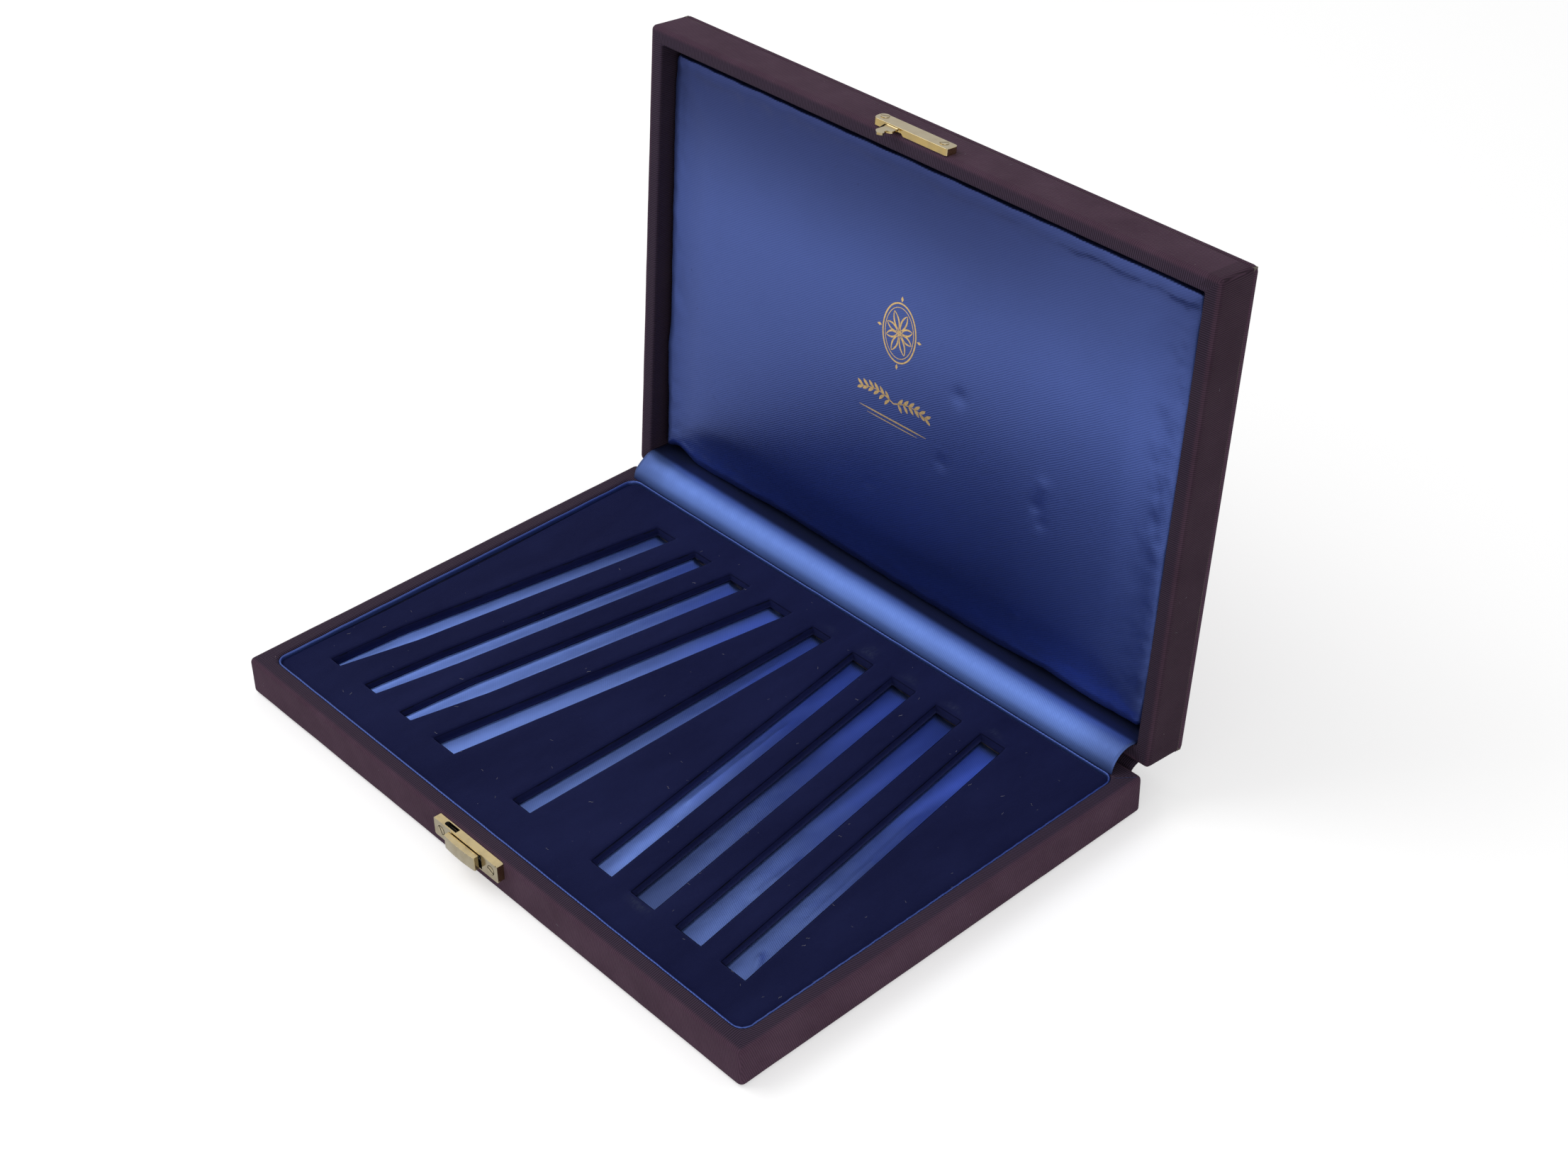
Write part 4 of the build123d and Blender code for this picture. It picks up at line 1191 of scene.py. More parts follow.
def clothHinge():
    piece, reach = strip("hinge_cloth", clothStrip, coverClothMat, 36, 2.2, lambda share: (-151.8, 151.8),
                         lambda x, share: 0.08 * wobble(x, share * 8.0, 3.0, 0.06))
    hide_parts("hinge_cloth_strip")
    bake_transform(piece)
    return piece


satinHinge()
clothHinge()
print("hinge strips hung")


# Padded satin of the lid

pad = {"boardFace": 17.0, "edgeDepth": 8.6, "roll": 2.3, "rollReach": 5.5, "crownDepth": 2.9, "drawIn": 2.0,
       "rows": 150, "columns": 220, "corner": 2.6, "voxel": 0.0055, "swellFrames": 20, "cap": 0.0045,
       "glued": 0.0030,
       "left": ((10, -148.9), (17, -148.8), (40, -149.6), (58, -150.9), (78, -149.7), (132, -150.4),
                (193, -151.2), (207, -150.0)),
       "right": ((10, 147.4), (40, 148.2), (90, 147.8), (140, 148.3), (200, 147.9)),
       "low": ((-149, 10.0), (-140, 12.6), (-127, 8.6), (-102, 8.9), (-69, 10.4), (-49, 10.0), (-12, 9.2),
               (42, 8.8), (68, 8.9), (93, 10.7), (118, 9.7), (147, 10.5)),
       "high": 207.3}
padDimples = ((37.0, 117.5, 3.2, -0.45), (30.3, 83.3, 2.6, -0.35), (84.0, 86.7, 3.0, -0.45),
              (87.0, 80.3, 2.6, -0.40), (77.5, 30.8, 3.0, -0.45), (-10.0, 54.5, 2.0, -0.25),
              (86.0, 97.5, 3.0, 0.30))


padClothSettings = {"quality": 5, "mass": 0.15, "tension_stiffness": 12.0, "compression_stiffness": 12.0,
                    "shear_stiffness": 8.0, "bending_stiffness": 0.4, "use_pressure": True,
                    "uniform_pressure_force": 4.0, "vertex_group_mass": "glued", "pin_stiffness": 5.0}
swellGrid = {"lowX": -0.150, "reachX": 0.300, "stepsX": 60, "lowU": 0.008, "reachU": 0.200, "stepsU": 40}


def simulatedPad():
    # a slab a little smaller than the pad, swollen by cloth with pressure; z is away from the board
    slab = bpy.data.meshes.new("padStart")
    work = bmesh.new()
    bmesh.ops.create_cube(work, size=1.0)
    sizes, middle = (0.292, 0.192, 0.0085), (0.0, 0.1085, 0.0048)
    for vertex in work.verts:
        vertex.co = Vector([place * size + shift for place, size, shift in zip(vertex.co, sizes, middle)])
    work.to_mesh(slab)
    work.free()
    piece = inScene("padStart", slab)
    remesh = piece.modifiers.new("even", "REMESH")
    remesh.mode = "VOXEL"
    remesh.voxel_size = pad["voxel"]
    applied(piece)
    rest = [v.co.copy() for v in piece.data.vertices]
    held = piece.vertex_groups.new(name="glued")
    held.add([k for k, co in enumerate(rest) if co.z < pad["glued"]], 1.0, "REPLACE")
    cloth = piece.modifiers.new("swell", "CLOTH")
    for label, value in padClothSettings.items():
        setattr(cloth.settings, label, value)
    cloth.settings.effector_weights.gravity = 0.0
    cloth.point_cache.frame_start = 1
    cloth.point_cache.frame_end = pad["swellFrames"]
    scene = bpy.context.scene
    for step in range(pad["swellFrames"]):
        scene.frame_set(step + 1)
    applied(piece)
    scene.frame_set(1)
    for vertex, start in zip(piece.data.vertices, rest):
        move = vertex.co - start
        if move.length > pad["cap"]:
            vertex.co = start + move.normalized() * pad["cap"]
    return piece


def padSwell(swollen):
    # height of the swollen cloth over the pad, from 0 at the rim to 1 at the crown
    lowX, reachX, stepsX = swellGrid["lowX"], swellGrid["reachX"], swellGrid["stepsX"]
    lowU, reachU, stepsU = swellGrid["lowU"], swellGrid["reachU"], swellGrid["stepsU"]
    tree = surfaceTree(swollen)
    table = {}
    for i in range(stepsX + 1):
        for j in range(stepsU + 1):
            start = Vector((lowX + reachX * i / stepsX, lowU + reachU * j / stepsU, 0.1))
            hit = tree.ray_cast(start, Vector((0, 0, -1)))
            table[i, j] = hit[0].z if hit[0] is not None else 0.006
    for turn in range(3):
        table = {(i, j): sum(table[min(max(i + a, 0), stepsX), min(max(j + b, 0), stepsU)]
                             for a in (-1, 0, 1) for b in (-1, 0, 1)) / 9 for i, j in table}
    top, low = max(table.values()), min(table.values())
    spread = max(top - low, 1e-6)

    def swell(x, u):
        a = min(max((x * mm - lowX) / reachX * stepsX, 0.0), stepsX - 0.001)
        b = min(max((u * mm - lowU) / reachU * stepsU, 0.0), stepsU - 0.001)
        i, j = int(a), int(b)
        fa, fb = a - i, b - j
        value = (table[i, j] * (1 - fa) * (1 - fb) + table[i + 1, j] * fa * (1 - fb)
                 + table[i, j + 1] * (1 - fa) * fb + table[i + 1, j + 1] * fa * fb)
        return (value - low) / spread
    return swell


def padFace(x, u, q, nearTop, swell):
    # depth below the lid rim of the satin face at a distance q from its edge
    rise = math.sqrt(max(0.0, 1 - (1 - min(q / pad["rollReach"], 1.0)) ** 2))
    dome = (1 - (abs(x) / 150.0) ** 2.6) * (1 - (abs(u - 108.5) / 99.0) ** 2.4)
    full = pad["edgeDepth"] - pad["roll"] - pad["crownDepth"]
    crown = full * (0.55 * max(dome, 0.0) + 0.45 * swell(x, u)) * ease(0, 26, q)
    v = pad["edgeDepth"] - pad["roll"] * rise - crown
    # puckers drawn in by the glued edge
    gathers = wobble(x, u, 1.0, 0.10) * 0.34 + wobble(x, u, 7.0, 0.26) * 0.16
    v -= gathers * (1 - ease(4, 20, q))
    # crease under the rolled top edge
    if nearTop < 26:
        line = 8.5 + 1.6 * wobble(x, 0.0, 30.0, 0.05)
        depth = 0.30 + 0.16 * ease(20, 120, x)
        v += depth * (0.75 + 0.5 * wobble(x, 0, 50.0, 0.06)) * math.exp(-((nearTop - line) / 3.4) ** 2)
        v -= 0.30 * math.exp(-((nearTop - line + 5.0) / 3.0) ** 2)
    v -= 0.25 * wobble(x, u, 12.0, 0.022)
    for dx, du, reach, lift in padDimples:
        gap = ((x - dx) ** 2 + (u - du) ** 2) / (reach * reach)
        if gap < 9:
            v -= lift * math.exp(-gap)
    return v


def padPaintedShade(x, y, z):
    # painted shade along the top, under the rim, and a painted reflection of the dark tray in a low arch in
    # the middle, lighter towards the right; heights are those of the open lid
    top = 0.50 * ease(0.155, 0.225, z * mm)
    reach = (x - 2.0) / (128.0 if x < 2.0 else 112.0)
    arch = ease(0.0, 1.0, (58.0 - (z - 20.0)) / 50.0) * max(0.0, 1 - reach ** 4)
    side = 0.12 * (1 - abs(x - 125.0) / 60.0) if x > 65 else 0.0
    return 0.26 + top + 0.52 * arch - max(side, 0.0) - 0.06 * ease(20, 90, x)


def padSpot(s, t, swell):
    # a point of the satin face: s runs across the pad, t from the hinge to its far edge
    high = pad["high"]
    row = 9.5 + (high - 9.5) * t
    left, right = smoothAlong(pad["left"], row), smoothAlong(pad["right"], row)
    x = left + (right - left) * s
    low = smoothAlong(pad["low"], x)
    high = high - 0.15 - 0.25 * wobble(x, 0, 2.0, 0.08)
    u = low + (high - low) * t
    corner = pad["corner"]
    nearX, nearU = min(x - left, right - x), min(u - low, high - u)
    edge = max(min(nearX, nearU), 0.0)
    if nearX < corner and nearU < corner:
        # the corners are round
        middleX = right - corner if x > 0 else left + corner
        middleU = high - corner if u > 108 else low + corner
        a, b = corner - nearX, corner - nearU
        pull = max(a, b) / math.hypot(a, b)
        x = middleX + math.copysign(a * pull, x)
        u = middleU + math.copysign(b * pull, u - 108)
        edge = max(corner - math.hypot(x - middleX, u - middleU), 0.0)
    return x, u, padFace(x, u, edge, high - u, swell)


def lidPad():
    start = simulatedPad()
    swell = padSwell(start)
    bpy.data.objects.remove(start)
    rows, columns = pad["rows"], pad["columns"]

    def spread(k, count):
        # closer rows near the edges
        t = k / count
        return t - 0.11 * math.sin(2 * math.pi * t)

    face = [padSpot(spread(j, columns), spread(i, rows), swell)
            for i in range(rows + 1) for j in range(columns + 1)]
    points = [padToShut(x, u, v) for x, u, v in face]
    faces = grid(rows + 1, columns + 1)
    rings = [gridBorder(rows, columns)]
    middle = (-1.0, 108.5)
    for share, depth in ((0.16, 10.2), (0.55, 12.6), (0.88, 15.0), (1.0, pad["boardFace"] - 0.05)):
        # the sides are drawn in towards the board
        draw = pad["drawIn"] * share
        ring = []
        for k in rings[0]:
            x, u, v = face[k]
            if abs(x) > 142:
                x -= math.copysign(min(draw, abs(x - middle[0])), x - middle[0])
            if u < 16 or u > 200:
                u -= math.copysign(min(draw, abs(u - middle[1])), u - middle[1])
            ring.append(len(points))
            points.append(padToShut(x, u, max(depth, v + 0.3)))
        rings.append(ring)
    for a, b in zip(rings, rings[1:]):
        for k in range(len(a)):
            n = (k + 1) % len(a)
            faces.append((a[k], b[k], b[n], a[n]))
    faces.append(tuple(rings[-1]))
    corners = [[(points[k][0], halfDepth - points[k][1]) for k in polygon] for polygon in faces]
    piece = outwardFaces(makePiece("lid_satin_pad", points, faces, padSatinMat, corners, lid=True))
    paintShadeOnPoints(piece, padPaintedShade)
    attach(piece, "lid")
    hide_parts("lid_pad")
    return piece


padPiece = lidPad()
print("pad swollen", len(padPiece.data.polygons), "faces")


# Brass lock

def softened(piece, width, segments=3):
    # edges rubbed round
    bevel = piece.modifiers.new("rubbed edges", "BEVEL")
    bevel.width = width * mm
    bevel.segments = segments
    bevel.limit_method = "ANGLE"
    bevel.angle_limit = math.radians(32)
    bevel.harden_normals = True
    bevel.use_clamp_overlap = True
    applied(piece)
    return piece


def softenedCopy(node, name, width, change=None):
    # the solid with its edges rubbed round, first changed if need be
    mesh = nodes[node].data.copy()
    mesh.materials.clear()
    mesh.materials.append(brassMat)
    piece = inScene(name, mesh)
    if change:
        change(piece)
        mesh = piece.data
    work = bmesh.new()
    work.from_mesh(mesh)
    bmesh.ops.remove_doubles(work, verts=work.verts, dist=1e-6)
    bmesh.ops.dissolve_limit(work, angle_limit=math.radians(1.0), verts=work.verts, edges=work.edges)
    work.to_mesh(mesh)
    work.free()
    return softened(piece, width)


lock = {"caseBevel": 0.50, "thumbBevel": 0.75, "plateBevel": 0.45, "armBevel": 0.30,
        "plateDepth": 3.2, "sheet": 1.0, "caseHollow": (-20.0, 21.0, 0.6, 2.75, 9.4, 17.5),
        "thumbHollow": (-30.0, 30.0, 0.0, 2.7, 0.0, 30.0),
        "window": (-13.85, -5.95, 0.38, 2.66),
        "plate": ((-14.0, 0.0), (19.7, 0.0), (20.45, 0.35), (20.75, 1.2), (20.75, 5.0), (20.35, 6.05),
                  (19.4, 6.5), (-19.3, 6.5), (-20.5, 6.2), (-21.25, 5.3), (-21.5, 4.0), (-21.3, 2.2),
                  (-20.7, 0.8), (-19.8, 0.1), (-19.0, 0.0)),
        "armLeft": ((-0.8, -12.95), (0.1, -12.8), (5.6, -12.85), (6.5, -12.75), (7.4, -11.95),
                    (8.1, -11.0), (8.5, -10.2)),
        "armRight": ((-0.8, -6.6), (0.4, -6.9), (1.5, -6.78), (3.0, -6.85), (3.8, -7.7), (4.25, -8.95),
                     (5.6, -8.95), (6.1, -8.2), (6.7, -7.95), (7.4, -8.1), (8.0, -8.8), (8.5, -10.1)),
        "armDepth": ((-0.8, 0.0), (-0.2, 0.35), (0.15, 0.78), (0.6, 0.92), (2.0, 1.06), (8.5, 1.10)),
        "armRows": (-0.8, -0.5, -0.2, 0.0, 0.15, 0.35, 0.7, 1.2, 2.0, 3.0, 3.4, 3.8, 4.05, 4.25, 4.9, 5.6,
                    5.85, 6.1, 6.4, 6.7, 7.05, 7.4, 7.75, 8.0, 8.25, 8.5)}


def lockPoint(x, v, out, low):
    # x along the front, v up from a level, out from the front face, drawn shut
    return (x, -halfDepth - out, low + v)


def prism(front, back, outFront, outBack, low):
    # solid between two outlines of the same number of corners, the first one towards the front
    count = len(front)
    points = [lockPoint(x, v, outFront, low) for x, v in front]
    points += [lockPoint(x, v, outBack, low) for x, v in back]
    faces = [tuple(range(count)), tuple(reversed(range(count, 2 * count)))]
    for k in range(count):
        n = (k + 1) % count
        faces.append((k, count + k, count + n, n))
    return points, faces


def hookArm():
    # the hook is the sheet of the plate, bent in a little and cut with the notch for the bolt
    across = 5
    points = []
    for thick in (0.0, lock["sheet"]):
        for t in lock["armRows"]:
            left, right = along(lock["armLeft"], t), along(lock["armRight"], t)
            out = lock["plateDepth"] - 0.01 - along(lock["armDepth"], t) - thick
            for k in range(across + 1):
                points.append(lockPoint(left + (right - left) * k / across, -t, out, box["lidLow"]))
    return points, slabFaces(len(lock["armRows"]) - 1, across)


def brassBlock(name, points, faces, lid=False):
    return outwardFaces(makePiece(name, points, faces, brassMat, lid=lid, merge=0.0, smooth=False))


def cutAway(piece, points, faces, lid=False):
    cutter = brassBlock("cutter", points, faces, lid)
    cut = piece.modifiers.new("cut", "BOOLEAN")
    cut.operation = "DIFFERENCE"
    cut.solver = "EXACT"
    cut.object = cutter
    applied(piece)
    bpy.data.objects.remove(cutter)


def hookPlate():
    # a block with the pocket that the hook is bent into; its sides spread towards the wall
    low, depth = box["lidLow"], lock["plateDepth"]
    piece = brassBlock("latch_hook_plate", *prism(lock["plate"], lock["plate"], depth, 0.0, low), lid=True)
    near = ((-14.2, -1.0), (-6.0, -1.0), (-6.0, 1.75), (-14.2, 1.75))
    far = ((-18.0, -1.0), (-2.9, -1.0), (-2.9, 1.75), (-18.0, 1.75))
    cutAway(piece, *prism(near, far, depth - lock["sheet"], -1.0, low), lid=True)
    softened(piece, lock["plateBevel"])
    arm = softened(brassBlock("hookArm", *hookArm(), lid=True), lock["armBevel"])
    work = bmesh.new()
    work.from_mesh(piece.data)
    work.from_mesh(arm.data)
    work.to_mesh(piece.data)
    work.free()
    bpy.data.objects.remove(arm)
    return piece


def paintShadeInside(piece, span):
    # faces that lie inside the lock are painted near black, as shade
    piece.data.materials.append(hollowShadeMat)
    left, right, near, far, low, high = span
    for polygon in piece.data.polygons:
        x, out, z = (polygon.center.x / mm, -halfDepth - polygon.center.y / mm, polygon.center.z / mm)
        if left < x < right and near < out < far and low < z < high:
            polygon.material_index = 1


def paintedReflectionFaces(piece, warmReflectionTowards, dimReflectionTowards=()):
    # marks each face by where it looks, for painted reflection: lists of (direction, amount)
    for label, towards in (("warmReflection", warmReflectionTowards), ("dimReflection", dimReflectionTowards)):
        mask = piece.data.attributes.new(label, "FLOAT", "FACE")
        for polygon, value in zip(piece.data.polygons, mask.data):
            looks = [amount * max(polygon.normal.dot(Vector(way)), 0.0) ** 3 for way, amount in towards]
            value.value = max(looks + [0.0])


def cutWindow(piece):
    # opening for the hook in the top of the case, round at its left end
    left, right, near, far = lock["window"]
    middle, radius = (near + far) / 2, (far - near) / 2
    outline = [(right, near), (right, far)]
    for k in range(9):
        a = math.pi / 2 + math.pi * k / 8
        outline.append((left + radius * 0.8 + radius * 0.8 * math.cos(a), middle + radius * math.sin(a)))
    low, high = box["baseHeight"] - 2.0, box["baseHeight"] + 1.0
    count = len(outline)
    front = -halfDepth - lock["plateDepth"]
    points = [(x, front + depth, z) for z in (low, high) for x, depth in outline]
    faces = [tuple(reversed(range(count))), tuple(range(count, 2 * count))]
    faces += [(k, (k + 1) % count, count + (k + 1) % count, count + k) for k in range(count)]
    cutAway(piece, points, faces)


def brassLock():
    case = softenedCopy("clasp_case", "latch_case", lock["caseBevel"], cutWindow)
    paintShadeInside(case, lock["caseHollow"])
    paintedReflectionFaces(case, (((0, 0, 1), 0.45), ((0, 0, -1), 0.9), ((1, 0, 0), 0.7)),
              (((0, -1, 0), 0.28), ((1, 0, 0), 0.3)))
    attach(case, "base")
    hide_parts("clasp_case")
    thumb = softenedCopy("clasp_slider", "latch_thumb", lock["thumbBevel"])
    paintShadeInside(thumb, lock["thumbHollow"])
    paintedReflectionFaces(thumb, (((0, 0, 1), 0.40), ((0, 0, -1), 0.9), ((1, 0, 0), 0.5)),
              (((0, -1, 0), 0.22), ((1, 0, 0), 0.3)))
    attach(thumb, "latch_slider")
    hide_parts("clasp_slider")
    plate = hookPlate()
    paintedReflectionFaces(plate, (((0, 0, 1), 0.20), ((0, -1, 0), 1.0), ((1, 0, 0), 0.6), ((-1, 0, 0), 0.8)),
              (((0, 0, 1), 0.42), ((0, -0.8, -0.6), 0.5)))
    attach(plate, "lid")
    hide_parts("hook_plate")


brassLock()
print("lock ready")


# Hinge leaves of the base, whose stop is kept under the cloth strip when the lid is shut

hingeLeaf = {"bevel": 0.12, "reach": 112.2, "inner": 70.0, "outer": 120.0}


def baseLeaves():
    # a block cuts off what reaches beyond the cloth strip
    near, far = hingeLeaf["reach"], 120.0
    inner, outer = hingeLeaf["inner"], hingeLeaf["outer"]
    for side, left, right in (("left", -outer, -inner), ("right", inner, outer)):
        outline = ((left, near), (right, near), (right, far), (left, far))
        points = [(x, y, z) for z in (4.0, 24.0) for x, y in outline]
        faces = [(3, 2, 1, 0), (4, 5, 6, 7)] + [(k, (k + 1) % 4, 4 + (k + 1) % 4, 4 + k) for k in range(4)]
        node = "hinge_base_leaf_" + side
        piece = softenedCopy(node, "hinge_leaf_" + side, hingeLeaf["bevel"],
                             lambda leaf: cutAway(leaf, points, faces))
        piece.data.materials[0] = steelMat
        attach(piece, "base")
        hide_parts(node)


baseLeaves()


# Spring behind the slider

coil = {"turns": 7, "steps": 14, "wire": 0.11, "sides": 5, "shut": 0.33}


def latchSpring():
    spots = [vertex.co / mm for vertex in nodes["clasp_spring"].data.vertices]
    low = [min(spot[axis] for spot in spots) for axis in range(3)]
    high = [max(spot[axis] for spot in spots) for axis in range(3)]
    y, z = (low[1] + high[1]) / 2, (low[2] + high[2]) / 2
    reach, wire = (high[1] - low[1]) / 2 - coil["wire"] - 0.02, coil["wire"]
    count = coil["turns"] * coil["steps"]
    points = []
    for k in range(count + 1):
        a = 2 * math.pi * k / coil["steps"]
        x = low[0] + wire + (high[0] - low[0] - 2 * wire) * k / count
        for j in range(coil["sides"]):
            b = 2 * math.pi * j / coil["sides"]
            r = reach + wire * math.cos(b)
            points.append((x + wire * math.sin(b), y + r * math.cos(a), z + r * math.sin(a)))
    faces = grid(count + 1, coil["sides"], True)
    last = count * coil["sides"]
    faces += [tuple(range(coil["sides"])), tuple(reversed(range(last, last + coil["sides"])))]
    piece = outwardFaces(makePiece("latch_spring", points, faces, steelMat, merge=0.0))
    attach(piece, "base")
    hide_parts("clasp_spring")
    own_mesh(piece)


latchSpring()
print("spring wound")


# Slotted screws

screws = {"radius": 2.08, "height": 1.25, "slotWidth": 0.60, "slotDepth": 0.85, "caseProud": 0.12,
          "plateProud": 0.28,
          "case": ((-15.8, 13.45, 1.13), (16.8, 13.45, 0.42)),
          "plate": ((-18.3, 22.6, 2.62), (15.4, 22.3, -0.96))}


def finished(tree, instances, finish, end):
    # the last steps of a tree: instances made real, in their finish
    real = add(tree, "GeometryNodeRealizeInstances", {"Geometry": instances}).outputs["Geometry"]
    dressed = add(tree, "GeometryNodeSetMaterial", {"Geometry": real, "Material": finish})
    feed(tree, end, {"Geometry": dressed.outputs["Geometry"]})


def screwTree():
    # a slotted head on every point, turned by the attribute "turn" about its own axis
    tree, given, end = newGroup("slottedScrews", (
        ("Geometry", "Geometry", None), ("Head Radius", "Float", 0.002), ("Head Height", "Float", 0.0008),
        ("Slot Size", "Vector", (0.006, 0.0005, 0.0008)), ("Finish", "Material", None)),
        (("Geometry", "Geometry"),), "GeometryNodeTree")
    radius, height = given["Head Radius"], given["Head Height"]
    head = add(tree, "GeometryNodeMeshCone", {"Vertices": 32, "Radius Bottom": radius,
                                              "Radius Top": times(tree, radius, 0.93), "Depth": height})
    slot = add(tree, "GeometryNodeMeshCube", {"Size": given["Slot Size"]})
    lift = add(tree, "ShaderNodeCombineXYZ", {"Z": height})
    moved = add(tree, "GeometryNodeTransform", {"Geometry": slot.outputs["Mesh"],
                                                "Translation": lift.outputs["Vector"]})
    cut = add(tree, "GeometryNodeMeshBoolean", {"Mesh 1": head.outputs["Mesh"],
                                                "Mesh 2": moved.outputs["Geometry"]},
              operation="DIFFERENCE", solver="EXACT")
    turn = add(tree, "GeometryNodeInputNamedAttribute", {"Name": "turn"}, data_type="FLOAT")
    angles = add(tree, "ShaderNodeCombineXYZ", {"X": math.pi / 2, "Y": turn.outputs["Attribute"]})
    spread = add(tree, "GeometryNodeInstanceOnPoints", {
        "Points": given["Geometry"], "Instance": cut.outputs["Mesh"], "Rotation": angles.outputs["Vector"]})
    finished(tree, spread.outputs["Instances"], given["Finish"], end)
    return tree


def nodesApplied(piece, tree, values):
    # gives the piece a node tree with its named inputs, and makes the result a plain mesh
    modifier = piece.modifiers.new("repeated", "NODES")
    modifier.node_group = tree
    for item in tree.interface.items_tree:
        if getattr(item, "in_out", "") == "INPUT" and item.name in values:
            modifier[item.identifier] = values[item.name]
    applied(piece)
    return piece


screwNodes = screwTree()


def screwRow(name, places, out, lid):
    mesh = bpy.data.meshes.new(name)
    mesh.from_pydata([(x * mm, (-halfDepth - out) * mm, z * mm) for x, z, turn in places], [], [])
    turns = mesh.attributes.new("turn", "FLOAT", "POINT")
    for value, (x, z, turn) in zip(turns.data, places):
        value.value = turn
    piece = inScene(name, mesh)
    slotSize = (6 * mm, screws["slotWidth"] * mm, 2 * screws["slotDepth"] * mm)
    nodesApplied(piece, screwNodes, {"Head Radius": screws["radius"] * mm, "Slot Size": slotSize,
                                     "Head Height": screws["height"] * mm, "Finish": brassMat})
    if lid:
        for vertex in piece.data.vertices:
            x, y, z = swingOpen((vertex.co.x / mm, vertex.co.y / mm, vertex.co.z / mm))
            vertex.co = Vector((x, y, z)) * mm
    return piece


def brassScrews():
    front = lock["plateDepth"]
    out = front - screws["height"] + screws["caseProud"]
    caseRow = screwRow("latch_case_screws", screws["case"], out, False)
    paintedReflectionFaces(caseRow, (((0, -1, 0), 0.15), ((0, 0, 1), 0.4)), (((0, -1, 0), 0.12),))
    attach(caseRow, "base")
    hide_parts("clasp_screws")
    out = front - screws["height"] + screws["plateProud"]
    plateRow = screwRow("latch_plate_screws", screws["plate"], out, True)
    paintedReflectionFaces(plateRow, (((0, 0, 1), 0.1), ((0, -1, 0), 0.8)), (((0, 0, 1), 0.30),))
    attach(plateRow, "lid")
    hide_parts("hook_plate_screws")


brassScrews()
print("screws driven")


# Foil ornament on the satin: a rosette in a ring over a sprig and a double rule

foil = {"middleX": 0.5, "ringU": 132.0, "ringX": 9.6, "ringHigh": 13.6, "petals": 8, "petalLong": 7.6,
        "sprigU": 99.5, "sprigHalf": 19.0, "ruleU": 90.5, "lift": 0.05, "thickness": 0.08}


def foilStrokes():
    # strokes as (points, widths) in the plane of the pad, millimetres
    cx, cu = foil["middleX"], foil["ringU"]
    strokes = []
    for scale, width in ((1.0, 0.72), (0.86, 0.34)):
        loop = []
        for k in range(65):
            a = 2 * math.pi * k / 64
            loop.append((cx + scale * foil["ringX"] * math.cos(a),
                         cu + scale * foil["ringHigh"] * math.sin(a)))
        strokes.append((loop, [width] * 65))
    for k in range(foil["petals"]):
        a = 2 * math.pi * (k + 0.5) / foil["petals"]
        for side in (-1, 1):
            petal, widths = [], []
            for j in range(13):
                t = j / 12
                out = 1.4 + foil["petalLong"] * t * (1.12 if abs(math.sin(a)) > 0.5 else 0.86)
                off = side * 1.35 * math.sin(math.pi * t) ** 0.8
                petal.append((cx + out * math.cos(a) - off * math.sin(a),
                              cu + out * math.sin(a) + off * math.cos(a)))
                widths.append(0.30 + 0.50 * math.sin(math.pi * t))
            strokes.append((petal, widths))
    for radius in (1.05, 0.45):
        dot = [(cx + radius * math.cos(2 * math.pi * k / 20), cu + radius * math.sin(2 * math.pi * k / 20))
               for k in range(21)]
        strokes.append((dot, [0.5] * 21))
    for sx, su in ((0, 1), (0, -1), (1, 0), (-1, 0)):
        reachX, reachU = foil["ringX"] + 2.1, foil["ringHigh"] + 2.1
        px, pu = cx + sx * reachX, cu + su * reachU
        point = [(px + way * sx * 1.3, pu + way * su * 1.3) for way in (-1, 0, 1)]
        strokes.append((point, [0.1, 1.5, 0.1]))
    # sprig: a bowed stem with paired leaves, mirrored from the middle
    for side in (-1, 1):
        stem = []
        for j in range(25):
            t = j / 24
            stem.append((cx + side * foil["sprigHalf"] * t,
                         foil["sprigU"] + 2.6 * math.sin(math.pi * 0.9 * t) - 1.0))
        strokes.append((stem, [0.58 - 0.28 * j / 24 for j in range(25)]))
        for j in range(3, 24, 4):
            x0, u0 = stem[j]
            for way in (-1, 1):
                leaf = []
                lean = math.radians(52 - j)
                for q in range(9):
                    t = q / 8
                    leaf.append((x0 + side * 4.2 * t * math.cos(lean) + 0.3 * math.sin(math.pi * t) * side,
                                 u0 + way * 4.4 * t * math.sin(lean)))
                strokes.append((leaf, [0.16 + 1.35 * math.sin(math.pi * q / 8) for q in range(9)]))
    for drop, half, width in ((0.0, 20.0, 0.66), (1.9, 15.0, 0.40)):
        rule = [(cx + half * (k / 20 - 1), foil["ruleU"] - drop) for k in range(41)]
        taper = [min(1.0, 4 * min(k, 40 - k) / 40 + 0.25) for k in range(41)]
        strokes.append((rule, [max(width * share, 0.1) for share in taper]))
    return strokes


